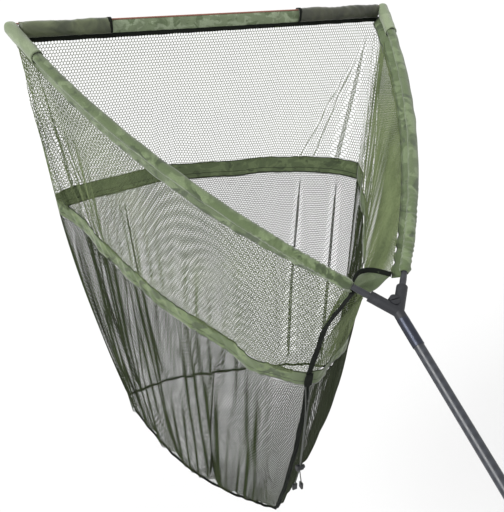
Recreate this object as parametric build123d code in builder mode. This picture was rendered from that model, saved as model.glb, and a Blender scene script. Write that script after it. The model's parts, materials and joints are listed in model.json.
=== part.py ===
from build123d import *

import os
from math import asin, atan2, cos, radians, sin, tan

# Carp landing net. Two flexible arms run from a moulded Y block to the front cord and carry a deep
# mesh bag. The block screws on a two-part handle, which slopes down from it to the hand.
# X runs along the front cord, left to right. Y runs forward. Z is up, against gravity.
# The origin is the middle of the hand grip, on the handle's axis.
os.makedirs("parts", exist_ok=True)

# ---- Driving dimensions, in millimetres and degrees ----
FRAME_SLOPE = 27.8  # the frame and the handle rise towards the front cord
NET_WIDTH = 1036.0  # between the arm tips
NET_LENGTH = 930.0  # from the apex of the Y to the front cord
SOCKET_ANGLE = 39.3  # between each socket and the handle's axis
STRAIGHT_ARM = 120.0  # the stretch of each arm that stays straight
ARM_ROOT_R = 6.5
ARM_TIP_R = 4.5
ARM_TAPER = 40.0  # the length of the cone between the two radii

SOCKET_R = 11.0
SOCKET_END = 60.0  # from the apex to a socket's mouth
SOCKET_SEAT = 18.0  # from the apex to the bottom of a socket
STEM_END = 16.0  # from the apex to the face that meets the handle
BOSS_R = 10.5
BOSS_AT = 21.0
BOSS_HEIGHT = 24.0
SLOT_WIDTH = 2.4
SLOT_DEPTH = 2.0

TUBE_R = 10.2
TUBE_WALL = 1.5
COLLAR_WALL = 1.8
FERRULE_WALL = 1.1
FERRULE_END = 74.0  # from the apex
JOINT_AT = 938.0  # from the apex to the joint between the two handle sections
COLLAR_LENGTH = 34.0
SPIGOT_GRIP = 118.0  # the stretch of spigot inside the upper section
SPIGOT_ROOT = 80.0  # the stretch of spigot bonded into the lower section
SPIGOT_WALL = 2.2
GRIP_FROM_APEX = 1560.0  # from the apex to the middle of the hand grip
GRIP_LENGTH = 330.0
GRIP_R = 14.5
GRIP_ROUND = 1.6
BUTT_AT = 1838.0  # from the apex to the face of the butt cap
BUTT_CAP_LENGTH = 38.0
BUTT_CAP_FLOOR = 5.0
BUTT_CAP_WALL = 2.75
BUTT_CAP_ROUND = 2.0

STUD_R = 4.76  # a three-eighths inch screw
STUD_START = 3.0
STUD_END = 29.0
STUD_CHAMFER = 0.8
INSERT_END = 44.0
INSERT_FLANGE = 3.0

FIT = 0.05  # radial clearance of what is bonded or screwed together
SLIDE_FIT = 0.08  # radial clearance of the spigot
SEAM = 0.3  # gap between soft pieces, and from soft pieces to what they lie on
FACE_GAP = 0.3  # gap between rigid faces that meet at a joint

SLEEVE_START = 97.0  # from the apex, along the arm
SLEEVE_BORE = 7.3
SLEEVE_R = 10.5
COVER_LENGTH = 118.0  # the stretch of arm inside a tip cover
COVER_BORE = 9.4
COVER_NOSE = 13.0  # how far the cover's closed end stands past the arm's tip
TIP_CAP_R = 8.6
TIP_CAP_LENGTH = 26.0
TIP_CAP_NOSE = 4.0
SKIRT_THICK = 2.0
SKIRT_CLEAR = 0.55  # plumb, from the sleeves and the covers down to the skirts
SKIRT_FOOT = 42.0  # plumb, below the arm's axis

FRONT_CORD_R = 2.0
FRONT_CORD_RISE = 7.4  # above the arm tips' level
CORD_CHANNEL = 0.4  # clearance round the front cord
FLOAT_R = 12.4
FLOAT_DROP = 9.0
FLOAT_INNER_LEFT = 287.0  # from the middle to each float sleeve's inner end
FLOAT_INNER_RIGHT = 232.0
FLOAT_END_GAP = 2.1  # from a float sleeve's outer end to the tip cover
FLOAT_SETBACK = 8.0  # a float is this much shorter than its sleeve at each end
FLOAT_SLEEVE_WIDE = 29.0
FLOAT_SLEEVE_TOP = 12.0
FLOAT_SLEEVE_FOOT = -24.5
TUBE_ROUND = 0.4  # the corner radius of the flat fabric tubes, as a share of their width
STRIP_WIDE = 9.0
STRIP_TOP = 11.0
FABRIC = 1.4
BINDING_THICK = 3.0
BINDING_FOOT = -34.5

WALL = 0.8  # modelled thickness of a mesh wall
BELT_WALL = 1.6
CORNER_SETBACK = 18.0  # the side walls turn to the front wall this far short of the arm tips
CORNER_GAP = 1.2  # from the side walls' ends to the front wall
BELT_TOP = 378.0  # the levels are measured plumb from the frame's plane
BELT_FOOT = 424.0
BASE_LEVEL = 1050.0
BASE_SAG = 46.0
BASE_FLAT = 0.45  # the size of the base's lowest part, as a share of its outline
BACK_HALF = 58.0
BACK_BINDING_HEIGHT = 16.0
TAPE_WIDE = 14.0
TAPE_THICK = 1.6
TAPE_START = -50.0  # the seam's place on X at the bag's back edge
PANEL_POINT = 1.5  # half the back panel's width at the belt
SEAM_HALF = 3.0  # half the gap between the side walls, under the tape
PATCH_WIDE = 22.0
PATCH_THICK = 7.0

# The bag's outline at three levels, in the frame's plane. A corner is given by how far it lies in
# from the arm's tip on x, and back from the front edge on y. The back seam is given by its x, and
# by its distance forward from the apex.
BELT_BACK = (-56.0, 237.0)
BELT_LEFT = (36.0, 62.0)
BELT_RIGHT = (108.0, 80.0)
BELT_FRONT = 16.0
BASE_BACK = (-37.0, 382.0)
BASE_LEFT = (156.0, 118.0)
BASE_RIGHT = (180.0, 195.0)
BASE_FRONT = 58.0
BASE_LEFT_BELLY = (260.0, 355.0)
BASE_RIGHT_BELLY = (368.0, 360.0)

DRAWCORD_R = 1.5
EXIT_HALF = 5.0  # half the distance between the two cord exits
EXIT_CLEAR = 9.0  # from the exits back to the hanging strands
EXIT_BELOW = 1.3  # the strands' square ends lie this far below the patch's sloping foot
STOP_BELOW = 0.4  # and this far above the end stops
DRAWCORD_LEAN = 0.06  # how far the strands drift to the left for each millimetre down
LOCK_DROP = 248.0  # from the exits to the middle of the cord lock
STRAND_HALF = 1.75  # half the distance between the strands inside the lock
END_DROP = 303.0  # from the exits to the end stops
END_HALF = 8.5
LOCK_R = 8.0
LOCK_LENGTH = 19.0
LOCK_WALL = 2.2
LOCK_ROUND = 2.4
BUTTON_ROUND = 1.2
SPRING_SPACE = 5.4
PLUNGER_R = 5.0
PLUNGER_OUT = 4.5
BUTTON_TRAVEL = 3.0
BUTTON_HOLE_R = 4.0
LOCK_HOLE_LENGTH = 7.4
LOCK_HOLE_WIDTH = 4.4
SPRING_WIRE_R = 0.3
SPRING_R = 3.2
SPRING_TURNS = 3
STOP_SIZE = (13.0, 6.0, 17.0)
STOP_ROUND = 1.5

# ---- The frame's plane and directions ----
slope = radians(FRAME_SLOPE)
along = Vector(0, cos(slope), sin(slope))
normal = Vector(0, -sin(slope), cos(slope))
apex = along * GRIP_FROM_APEX


def level(drop=0.0, lift=0.0):
    """The frame's plane, let down plumb by drop and raised along its normal by lift."""
    return Plane(origin=apex - Vector(0, 0, drop) + normal * lift, x_dir=(1, 0, 0), z_dir=normal)


def across_handle(distance):
    """The plane across the handle at a distance below the apex, facing the butt."""
    return Plane(origin=apex - along * distance, x_dir=(1, 0, 0), z_dir=-along)


def front_section(x):
    """The plane across the front edge at x. Its own x is forward and its own y is up."""
    tip_level = apex + along * NET_LENGTH
    return Plane(origin=tip_level + Vector(x, 0, 0), x_dir=(0, 1, 0), z_dir=(1, 0, 0))


def save(builder, node):
    builder.part.label = node
    export_step(builder.part, f"parts/{node}.step")


# ---- The arm's line: straight from the apex, then one arc to the tip ----
root_angle = radians(SOCKET_ANGLE)
bend_x = STRAIGHT_ARM * sin(root_angle)
bend_y = STRAIGHT_ARM * cos(root_angle)
chord_x = NET_WIDTH / 2 - bend_x
chord_y = NET_LENGTH - bend_y
chord = (chord_x**2 + chord_y**2) ** 0.5
arc_turn = 2 * (root_angle - atan2(chord_x, chord_y))
arc_radius = chord / 2 / sin(arc_turn / 2)
arm_length = STRAIGHT_ARM + arc_radius * arc_turn
tip_angle = root_angle - arc_turn


def arm_angle(distance):
    return root_angle - max(distance - STRAIGHT_ARM, 0) / arc_radius


def arm_point(side, distance, out=0.0):
    """A point on an arm's line in the frame's plane, moved out sideways. Side is -1 or 1."""
    angle = arm_angle(distance)
    straight = min(distance, STRAIGHT_ARM)
    x = straight * sin(root_angle) + arc_radius * (cos(angle) - cos(root_angle))
    y = straight * cos(root_angle) + arc_radius * (sin(root_angle) - sin(angle))
    return (side * (x + out * cos(angle)), y - out * sin(angle))


def arm_line(side, start, end):
    """The arm's line between two distances, drawn inside a BuildLine on the frame's plane."""
    if start < STRAIGHT_ARM:
        Line(arm_point(side, start), arm_point(side, STRAIGHT_ARM))
    first = max(start, STRAIGHT_ARM)
    ThreePointArc(
        arm_point(side, first),
        arm_point(side, (first + end) / 2),
        arm_point(side, end),
    )


def across_arm(side, distance):
    """The plane across an arm, facing its tip."""
    x, y = arm_point(side, distance)
    angle = arm_angle(distance)
    facing = Vector(side * sin(angle), 0, 0) + along * cos(angle)
    middle = apex + Vector(x, 0, 0) + along * y
    return Plane(origin=middle, x_dir=normal, z_dir=facing)


def handle_tube(start, end, outer_r, inner_r=0.0):
    """A round piece on the handle's axis between two distances below the apex."""
    with BuildPart() as piece:
        with BuildSketch(across_handle(start)):
            Circle(outer_r)
            if inner_r:
                Circle(inner_r, mode=Mode.SUBTRACT)
        extrude(amount=end - start)
    return piece


# ---- Handle: two tubes, their spigot joint, the grip and the butt cap ----
tube_bore = TUBE_R - TUBE_WALL
collar_r = TUBE_R + COLLAR_WALL
spigot_r = tube_bore - SLIDE_FIT
insert_start = STEM_END + FACE_GAP

save(handle_tube(insert_start + INSERT_FLANGE, JOINT_AT, TUBE_R, tube_bore), "upper_tube")
save(handle_tube(JOINT_AT + FACE_GAP, BUTT_AT - BUTT_CAP_FLOOR, TUBE_R, tube_bore), "lower_tube")
save(handle_tube(insert_start, FERRULE_END, TUBE_R + FIT + FERRULE_WALL, TUBE_R + FIT), "ferrule")
save(
    handle_tube(JOINT_AT - SPIGOT_GRIP, JOINT_AT + SPIGOT_ROOT, spigot_r, spigot_r - SPIGOT_WALL),
    "spigot",
)
for node, start in (
    ("upper_collar", JOINT_AT - COLLAR_LENGTH),
    ("lower_collar", JOINT_AT + FACE_GAP),
):
    with BuildPart() as collar:
        with BuildSketch(across_handle(start)):
            Circle(collar_r)
            Circle(TUBE_R + FIT, mode=Mode.SUBTRACT)
        extrude(amount=COLLAR_LENGTH)
        chamfer(collar.edges().filter_by(GeomType.CIRCLE).group_by(SortBy.RADIUS)[-1], COLLAR_WALL / 2)
    save(collar, node)

with BuildPart() as grip:
    with BuildSketch(across_handle(GRIP_FROM_APEX - GRIP_LENGTH / 2)):
        Circle(GRIP_R)
        Circle(TUBE_R + FIT, mode=Mode.SUBTRACT)
    extrude(amount=GRIP_LENGTH)
    fillet(grip.edges().filter_by(GeomType.CIRCLE).group_by(SortBy.RADIUS)[-1], GRIP_ROUND)
save(grip, "grip")

with BuildPart() as butt_cap:
    with BuildSketch(across_handle(BUTT_AT - BUTT_CAP_LENGTH)):
        Circle(TUBE_R + FIT + BUTT_CAP_WALL)
    extrude(amount=BUTT_CAP_LENGTH)
    with BuildSketch(across_handle(BUTT_AT - BUTT_CAP_LENGTH)):
        Circle(TUBE_R + FIT)
    extrude(amount=BUTT_CAP_LENGTH - BUTT_CAP_FLOOR, mode=Mode.SUBTRACT)
    fillet(butt_cap.edges().filter_by(GeomType.CIRCLE).group_by(SortBy.RADIUS)[-1], BUTT_CAP_ROUND)
save(butt_cap, "butt_cap")

# ---- The screw between the head and the handle ----
with BuildPart() as thread_insert:
    with BuildSketch(across_handle(insert_start)):
        Circle(TUBE_R)
    extrude(amount=INSERT_FLANGE)
    with BuildSketch(across_handle(insert_start + INSERT_FLANGE)):
        Circle(tube_bore - FIT)
    extrude(amount=INSERT_END - insert_start - INSERT_FLANGE)
    with BuildSketch(across_handle(insert_start)):
        Circle(STUD_R + FIT)
    extrude(amount=INSERT_END - insert_start, mode=Mode.SUBTRACT)
save(thread_insert, "thread_insert")

with BuildPart() as thread_stud:
    with BuildSketch(across_handle(STUD_START)):
        Circle(STUD_R)
    extrude(amount=STUD_END - STUD_START)
    chamfer(thread_stud.edges().filter_by(GeomType.CIRCLE).sort_by(Axis.Z)[0], STUD_CHAMFER)
save(thread_stud, "thread_stud")

# ---- The moulded Y block ----
with BuildPart() as spreader_block:
    with BuildSketch(across_handle(0)):
        Circle(SOCKET_R)
    extrude(amount=STEM_END)
    with Locations(level()):
        Sphere(SOCKET_R)
    for side in (-1, 1):
        with BuildSketch(across_arm(side, 0)):
            Circle(SOCKET_R)
        extrude(amount=SOCKET_END)
    with BuildSketch(level(lift=-BOSS_HEIGHT / 2)):
        with Locations((0, BOSS_AT)):
            Circle(BOSS_R)
    extrude(amount=BOSS_HEIGHT)
    for side in (-1, 1):
        with BuildSketch(across_arm(side, SOCKET_SEAT)):
            Circle(ARM_ROOT_R + FIT)
        extrude(amount=SOCKET_END - SOCKET_SEAT, mode=Mode.SUBTRACT)
    with BuildSketch(across_handle(STUD_START)):
        Circle(STUD_R + FIT)
    extrude(amount=STEM_END - STUD_START, mode=Mode.SUBTRACT)
    with BuildSketch(level(lift=BOSS_HEIGHT / 2 - SLOT_DEPTH)):
        with Locations((0, BOSS_AT)):
            Rectangle(2 * BOSS_R, SLOT_WIDTH)
    extrude(amount=SLOT_DEPTH, mode=Mode.SUBTRACT)
save(spreader_block, "spreader_block")

# ---- Arms, their tip caps, sleeves, skirts and tip covers ----
cover_r = SLEEVE_R + FABRIC
steepest = asin(cos(tip_angle) * sin(slope))  # an arm rises most steeply at its tip
skirt_top = cover_r / cos(steepest) + SKIRT_CLEAR
for name, side in (("left", -1), ("right", 1)):
    cone_start = STRAIGHT_ARM - ARM_TAPER
    with BuildPart() as arm:
        with BuildSketch(across_arm(side, SOCKET_SEAT + FIT)):
            Circle(ARM_ROOT_R)
        extrude(amount=cone_start - SOCKET_SEAT - FIT)
        with BuildSketch(across_arm(side, cone_start)):
            Circle(ARM_ROOT_R)
        with BuildSketch(across_arm(side, STRAIGHT_ARM)):
            Circle(ARM_TIP_R)
        loft()
        with BuildLine(level()) as tip_line:
            arm_line(side, STRAIGHT_ARM, arm_length)
        with BuildSketch(across_arm(side, STRAIGHT_ARM)):
            Circle(ARM_TIP_R)
        sweep(path=tip_line.wires()[0])
    save(arm, f"{name}_arm")

    with BuildPart() as tip_cap:
        with BuildSketch(across_arm(side, arm_length + TIP_CAP_NOSE)):
            Circle(TIP_CAP_R)
        extrude(amount=-TIP_CAP_LENGTH)
        with BuildLine(level()) as bore_line:
            arm_line(side, arm_length - TIP_CAP_LENGTH - TIP_CAP_NOSE, arm_length)
        with BuildSketch(across_arm(side, arm_length - TIP_CAP_LENGTH - TIP_CAP_NOSE)):
            Circle(ARM_TIP_R + FIT)
        sweep(path=bore_line.wires()[0], mode=Mode.SUBTRACT)
        with BuildSketch(front_section(-NET_WIDTH)):
            with Locations((0, FRONT_CORD_RISE)):
                Circle(FRONT_CORD_R + CORD_CHANNEL)
        extrude(amount=2 * NET_WIDTH, mode=Mode.SUBTRACT)
    save(tip_cap, f"{name}_tip_cap")

    with BuildPart() as sleeve:
        with BuildLine(level()) as sleeve_line:
            arm_line(side, SLEEVE_START, arm_length - COVER_LENGTH - SEAM)
        with BuildSketch(across_arm(side, SLEEVE_START)):
            Circle(SLEEVE_R)
            Circle(SLEEVE_BORE, mode=Mode.SUBTRACT)
        sweep(path=sleeve_line.wires()[0])
    save(sleeve, f"{name}_arm_sleeve")

    skirt_end = arm_length - SKIRT_THICK
    half = SKIRT_THICK / 2
    with BuildPart() as skirt:
        with BuildSketch(level(drop=skirt_top)):
            with BuildLine():
                Line(arm_point(side, SLEEVE_START, half), arm_point(side, STRAIGHT_ARM, half))
                ThreePointArc(
                    arm_point(side, STRAIGHT_ARM, half),
                    arm_point(side, (STRAIGHT_ARM + skirt_end) / 2, half),
                    arm_point(side, skirt_end, half),
                )
                Line(arm_point(side, skirt_end, half), arm_point(side, skirt_end, -half))
                ThreePointArc(
                    arm_point(side, skirt_end, -half),
                    arm_point(side, (STRAIGHT_ARM + skirt_end) / 2, -half),
                    arm_point(side, STRAIGHT_ARM, -half),
                )
                Line(arm_point(side, STRAIGHT_ARM, -half), arm_point(side, SLEEVE_START, -half))
                Line(arm_point(side, SLEEVE_START, -half), arm_point(side, SLEEVE_START, half))
            make_face()
        extrude(amount=SKIRT_FOOT - skirt_top, dir=(0, 0, -1))
    save(skirt, f"{name}_skirt")

    with BuildPart() as cover:
        with BuildLine(level()) as cover_line:
            arm_line(side, arm_length - COVER_LENGTH, arm_length)
        with BuildSketch(across_arm(side, arm_length - COVER_LENGTH)):
            Circle(cover_r)
            Circle(COVER_BORE, mode=Mode.SUBTRACT)
        sweep(path=cover_line.wires()[0])
        with BuildSketch(across_arm(side, arm_length)):
            Circle(cover_r)
        extrude(amount=COVER_NOSE)
        with BuildSketch(across_arm(side, arm_length)):
            Circle(COVER_BORE)
        extrude(amount=TIP_CAP_NOSE + SEAM, mode=Mode.SUBTRACT)
        with BuildSketch(front_section(side * (NET_WIDTH / 2 - cover_r - FABRIC))):
            with Locations((0, FRONT_CORD_RISE)):
                Circle(FRONT_CORD_R + CORD_CHANNEL)
        extrude(amount=side * (cover_r + FABRIC), mode=Mode.SUBTRACT)
    save(cover, f"{name}_tip_cover")

# ---- The front edge: cord, floats, their sleeves, the strip between them and the binding ----
cover_side = cover_r / cos(tip_angle) + FLOAT_SLEEVE_WIDE / 2 * tan(tip_angle)
float_outer = NET_WIDTH / 2 - cover_side - FLOAT_END_GAP

with BuildPart() as front_cord:
    with BuildSketch(front_section(-NET_WIDTH / 2)):
        with Locations((0, FRONT_CORD_RISE)):
            Circle(FRONT_CORD_R)
    extrude(amount=NET_WIDTH)
save(front_cord, "front_cord")


def front_tube(start, end, wide, top, foot):
    """A flat fabric tube along the front edge, between two places on X."""
    height = top - foot
    round_r = wide * TUBE_ROUND
    with BuildPart() as piece:
        with BuildSketch(front_section(start)):
            with Locations((0, (top + foot) / 2)):
                RectangleRounded(wide, height, round_r)
                RectangleRounded(
                    wide - 2 * FABRIC, height - 2 * FABRIC, round_r - FABRIC, mode=Mode.SUBTRACT
                )
        extrude(amount=end - start)
    return piece


for name, side, float_inner in (("left", -1, FLOAT_INNER_LEFT), ("right", 1, FLOAT_INNER_RIGHT)):
    first, last = sorted((side * float_inner, side * float_outer))
    sleeve = front_tube(first, last, FLOAT_SLEEVE_WIDE, FLOAT_SLEEVE_TOP, FLOAT_SLEEVE_FOOT)
    save(sleeve, f"{name}_float_sleeve")
    with BuildPart() as float_rod:
        with BuildSketch(front_section(first + FLOAT_SETBACK)):
            with Locations((0, -FLOAT_DROP)):
                Circle(FLOAT_R)
        extrude(amount=last - first - 2 * FLOAT_SETBACK)
    save(float_rod, f"{name}_float")

strip = front_tube(
    SEAM - FLOAT_INNER_LEFT, FLOAT_INNER_RIGHT - SEAM, STRIP_WIDE, STRIP_TOP, FLOAT_SLEEVE_FOOT
)
save(strip, "front_strip")

with BuildPart() as front_binding:
    with BuildSketch(front_section(-float_outer)):
        binding_top = FLOAT_SLEEVE_FOOT - SEAM
        with Locations((0, (binding_top + BINDING_FOOT) / 2)):
            Rectangle(BINDING_THICK, binding_top - BINDING_FOOT)
    extrude(amount=2 * float_outer)
save(front_binding, "front_binding")


# ---- The bag: thin walls between outlines on three levels ----
def between(first, last, share):
    return tuple(a + (b - a) * share for a, b in zip(first, last))


def wall_strip(points, inward, thick):
    """The points of a closed thin strip: the points, then the same moved inward."""
    inner = [(x + inward[0] * thick, y + inward[1] * thick) for x, y in reversed(points)]
    return [*points, *inner]


def wall(node, levels, inward, thick):
    """A thin wall between outlines. Levels is a list of (drop, points)."""
    with BuildPart() as piece:
        for drop, points in levels:
            with BuildSketch(level(drop=drop)):
                with BuildLine():
                    Polyline(*wall_strip(points, inward, thick), close=True)
                make_face()
        loft(ruled=True)
    save(piece, node)


side_shares = (0.0, 0.2, 0.4, 0.6, 0.8, 1.0)
wall_top = SKIRT_FOOT + SEAM
rim_end = arm_length - CORNER_SETBACK


def rim_side(side):
    """The bag's rim along one arm, and round the tip to the front wall."""
    reach = rim_end - SLEEVE_START
    points = [arm_point(side, SLEEVE_START + reach * share) for share in side_shares]
    return [*points, (side * float_outer, NET_LENGTH - CORNER_GAP)]


def belly(first, middle, last):
    """A side from first to last through a middle point, as one smooth bulge."""
    points = []
    for share in side_shares:
        early = between(first, middle, share)
        late = between(middle, last, share)
        points.append(between(early, late, share))
    return points


def bulged(back, corner, through):
    """The side that passes through the point given, half way along."""
    control = tuple(2 * t - (b + c) / 2 for b, c, t in zip(back, corner, through))
    return belly(back, control, corner)


def in_from_tip(side, inset):
    """The place at an inset from the left or right arm's tip."""
    return (side * (NET_WIDTH / 2 - inset[0]), NET_LENGTH - inset[1])


belt_corners = {-1: in_from_tip(-1, BELT_LEFT), 1: in_from_tip(1, BELT_RIGHT)}
base_corners = {-1: in_from_tip(-1, BASE_LEFT), 1: in_from_tip(1, BASE_RIGHT)}
base_bellies = {-1: in_from_tip(-1, BASE_LEFT_BELLY), 1: in_from_tip(1, BASE_RIGHT_BELLY)}
belt_front = NET_LENGTH - BELT_FRONT
base_front = NET_LENGTH - BASE_FRONT
belt_mid = (BELT_TOP + BELT_FOOT) / 2


def base_side(side):
    """The foot of the bag's left or right wall."""
    return bulged(BASE_BACK, base_corners[side], base_bellies[side])


def at_drop(upper, lower, upper_drop, lower_drop, drop):
    """The outline at a drop between two outlines, point by point."""
    share = (drop - upper_drop) / (lower_drop - upper_drop)
    return [between(a, b, share) for a, b in zip(upper, lower)]


for name, side in (("left", -1), ("right", 1)):
    inward = (-side * cos(root_angle), sin(root_angle))
    seam_shift = side * SEAM_HALF
    rim = rim_side(side)
    belt = [between(BELT_BACK, belt_corners[side], share) for share in side_shares]
    belt_end = (belt_corners[side][0], belt_front - CORNER_GAP)
    belt = [(belt[0][0] + seam_shift, belt[0][1]), *belt[1:], belt_end]
    base = base_side(side)
    base_end = (base_corners[side][0], base_front - CORNER_GAP)
    base = [(base[0][0] + seam_shift, base[0][1]), *base[1:], base_end]
    above = at_drop(rim, belt, wall_top, belt_mid, BELT_TOP - SEAM)
    below = at_drop(belt, base, belt_mid, BASE_LEVEL, BELT_FOOT + SEAM)
    upper_belt = at_drop(rim, belt, wall_top, belt_mid, BELT_TOP)
    lower_belt = at_drop(belt, base, belt_mid, BASE_LEVEL, BELT_FOOT)
    wall(f"{name}_upper_mesh", [(wall_top, rim), (BELT_TOP - SEAM, above)], inward, WALL)
    wall(f"{name}_belt", [(BELT_TOP, upper_belt), (BELT_FOOT, lower_belt)], inward, BELT_WALL)
    wall(f"{name}_lower_mesh", [(BELT_FOOT + SEAM, below), (BASE_LEVEL, base)], inward, WALL)

front_top = -BINDING_FOOT + SEAM + WALL * tan(slope)
front_rim = [(-float_outer, NET_LENGTH), (float_outer, NET_LENGTH)]
front_belt = [(belt_corners[side][0], belt_front) for side in (-1, 1)]
front_base = [(base_corners[side][0], base_front) for side in (-1, 1)]
above = at_drop(front_rim, front_belt, front_top, belt_mid, BELT_TOP - SEAM)
below = at_drop(front_belt, front_base, belt_mid, BASE_LEVEL, BELT_FOOT + SEAM)
upper_belt = at_drop(front_rim, front_belt, front_top, belt_mid, BELT_TOP)
lower_belt = at_drop(front_belt, front_base, belt_mid, BASE_LEVEL, BELT_FOOT)
forward = (0.0, 1.0)
wall("front_upper_mesh", [(front_top, front_rim), (BELT_TOP - SEAM, above)], forward, WALL)
wall("front_belt", [(BELT_TOP, upper_belt), (BELT_FOOT, lower_belt)], forward, BELT_WALL)
wall("front_lower_mesh", [(BELT_FOOT + SEAM, below), (BASE_LEVEL, front_base)], forward, WALL)

# ---- The back of the bag: the panel over the Y, its binding and the seam tape ----
back_edge = arm_point(1, SLEEVE_START)[1]
panel_top = BACK_BINDING_HEIGHT + SEAM
panel_rim = [(-BACK_HALF, back_edge), (BACK_HALF, back_edge)]
panel_foot = [(BELT_BACK[0] - PANEL_POINT, BELT_BACK[1]), (BELT_BACK[0] + PANEL_POINT, BELT_BACK[1])]
panel_end = at_drop(panel_rim, panel_foot, wall_top, belt_mid, BELT_TOP - SEAM)
panel_levels = [(panel_top, panel_rim), (wall_top, panel_rim), (BELT_TOP - SEAM, panel_end)]
wall("back_panel", panel_levels, forward, WALL)

binding_half = BACK_HALF - SLEEVE_R * cos(root_angle)
with BuildPart() as back_binding:
    with BuildSketch(level()):
        with Locations((0, back_edge + WALL / 2)):
            Rectangle(2 * binding_half, 2 * WALL)
    extrude(amount=BACK_BINDING_HEIGHT, dir=(0, 0, -1))
save(back_binding, "back_binding")


def back_seam(drop):
    """The place of the back seam at a level of the bag."""
    start = (TAPE_START, back_edge)
    if drop <= belt_mid:
        return between(start, BELT_BACK, max(drop - wall_top, 0) / (belt_mid - wall_top))
    return between(BELT_BACK, BASE_BACK, (drop - belt_mid) / (BASE_LEVEL - belt_mid))


def seam_strip(node, drops, wide, thick):
    """A strip that lies on the outside of the back seam, through the levels given."""
    with BuildPart() as piece:
        for drop in drops:
            x, y = back_seam(drop)
            with BuildSketch(level(drop=drop)):
                with Locations((x, y - SEAM - thick / 2)):
                    Rectangle(wide, thick)
        loft(ruled=True)
    save(piece, node)


seam_strip("upper_seam_tape", (panel_top, wall_top, BELT_TOP - SEAM), TAPE_WIDE, TAPE_THICK)
seam_strip("exit_patch", (BELT_TOP, BELT_FOOT), PATCH_WIDE, PATCH_THICK)
seam_strip("lower_seam_tape", (BELT_FOOT + SEAM, BASE_LEVEL), TAPE_WIDE, TAPE_THICK)


# ---- The base: a finer mesh that sags below the walls' foot ----
base_outline = [*base_side(-1), *front_base, *reversed(base_side(1)[1:])]
base_middle = (
    sum(x for x, _ in base_outline) / len(base_outline),
    sum(y for _, y in base_outline) / len(base_outline),
)


def shrunk(points, share, inset=0.0):
    """An outline drawn in towards the base's middle, by a share and by a length."""
    drawn = []
    for point in points:
        x, y = point[0] - base_middle[0], point[1] - base_middle[1]
        keep = share - inset / (x * x + y * y) ** 0.5
        drawn.append((base_middle[0] + x * keep, base_middle[1] + y * keep))
    return drawn


base_rim = BASE_LEVEL + SEAM
base_foot = BASE_LEVEL + BASE_SAG
with BuildPart() as base:
    for inset, foot, mode in ((0.0, base_foot, Mode.ADD), (2 * WALL, base_foot - WALL, Mode.SUBTRACT)):
        for drop, share in ((base_rim, 1.0), (foot, BASE_FLAT)):
            with BuildSketch(level(drop=drop)):
                with BuildLine():
                    Polyline(*shrunk(base_outline, share, inset), close=True)
                make_face()
        loft(ruled=True, mode=mode)
save(base, "base_mesh")

# ---- The drawcord: two strands from the exit patch, the cord lock and the end stops ----
seam_x, seam_y = back_seam(BELT_FOOT)
cord_exit = apex + along * (seam_y - SEAM - PATCH_THICK / 2)
cord_exit += Vector(seam_x, 0, -BELT_FOOT - EXIT_BELOW)


def hanging(aside, back, drop):
    """A place on the hanging drawcord, from the middle of its two exits."""
    return cord_exit + Vector(aside - DRAWCORD_LEAN * drop, -back, -drop)


def corner_radii(points):
    """The largest even radius at each corner of a cord's route."""
    radii = []
    for before, corner, after in zip(points, points[1:], points[2:]):
        turn = radians((corner - before).get_angle(after - corner))
        shorter = min((corner - before).length, (after - corner).length)
        radii.append(0.45 * shorter / tan(turn / 2))
    return radii


for name, side in (("left", -1), ("right", 1)):
    inside = EXIT_CLEAR + side * STRAND_HALF
    points = [
        hanging(side * EXIT_HALF, 0, 0),
        hanging(side * (EXIT_HALF + 0.6), 5, 20),
        hanging(side * (EXIT_HALF - 0.8), EXIT_CLEAR - 1.5, 46),
        hanging(0, inside, 92),
        hanging(0, inside, 268),
        hanging(side * END_HALF, inside, END_DROP),
    ]
    radii = corner_radii(points)
    print(name, "drawcord radii", [round(r, 1) for r in radii])
    with BuildPart() as strand:
        with BuildLine() as route:
            FilletPolyline(*points, radius=radii)
        start = Plane(origin=points[0], z_dir=points[1] - points[0])
        with BuildSketch(start):
            Circle(DRAWCORD_R)
        sweep(path=route.wires()[0])
    print(name, "drawcord length", round(route.wires()[0].length, 1), "volume", round(strand.part.volume, 1))
    save(strand, f"{name}_drawcord")

cord_down = Vector(-DRAWCORD_LEAN, 0, -1).normalized()
lock_side = Vector(1, 0, -DRAWCORD_LEAN).normalized()
lock_centre = hanging(0, EXIT_CLEAR, LOCK_DROP)


def across_lock(aside):
    """The plane across the cord lock's barrel, facing its button."""
    return Plane(origin=lock_centre + lock_side * aside, x_dir=(0, 1, 0), z_dir=lock_side)


above_lock = Plane(origin=lock_centre - cord_down * 2 * LOCK_R, x_dir=lock_side, z_dir=cord_down)
plunger_end = -LOCK_HOLE_WIDTH / 2 - LOCK_WALL / 2
barrel_end = plunger_end - SPRING_SPACE - LOCK_WALL
with BuildPart() as cord_lock:
    with BuildSketch(across_lock(barrel_end)):
        Circle(LOCK_R)
    extrude(amount=LOCK_LENGTH)
    fillet(cord_lock.edges().filter_by(GeomType.CIRCLE), LOCK_ROUND)
    with BuildSketch(across_lock(barrel_end + LOCK_WALL)):
        Circle(PLUNGER_R + SLIDE_FIT)
    extrude(amount=LOCK_LENGTH, mode=Mode.SUBTRACT)
    with BuildSketch(above_lock):
        SlotOverall(LOCK_HOLE_LENGTH, LOCK_HOLE_WIDTH, rotation=90)
    extrude(amount=4 * LOCK_R, mode=Mode.SUBTRACT)
save(cord_lock, "cord_lock")

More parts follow.
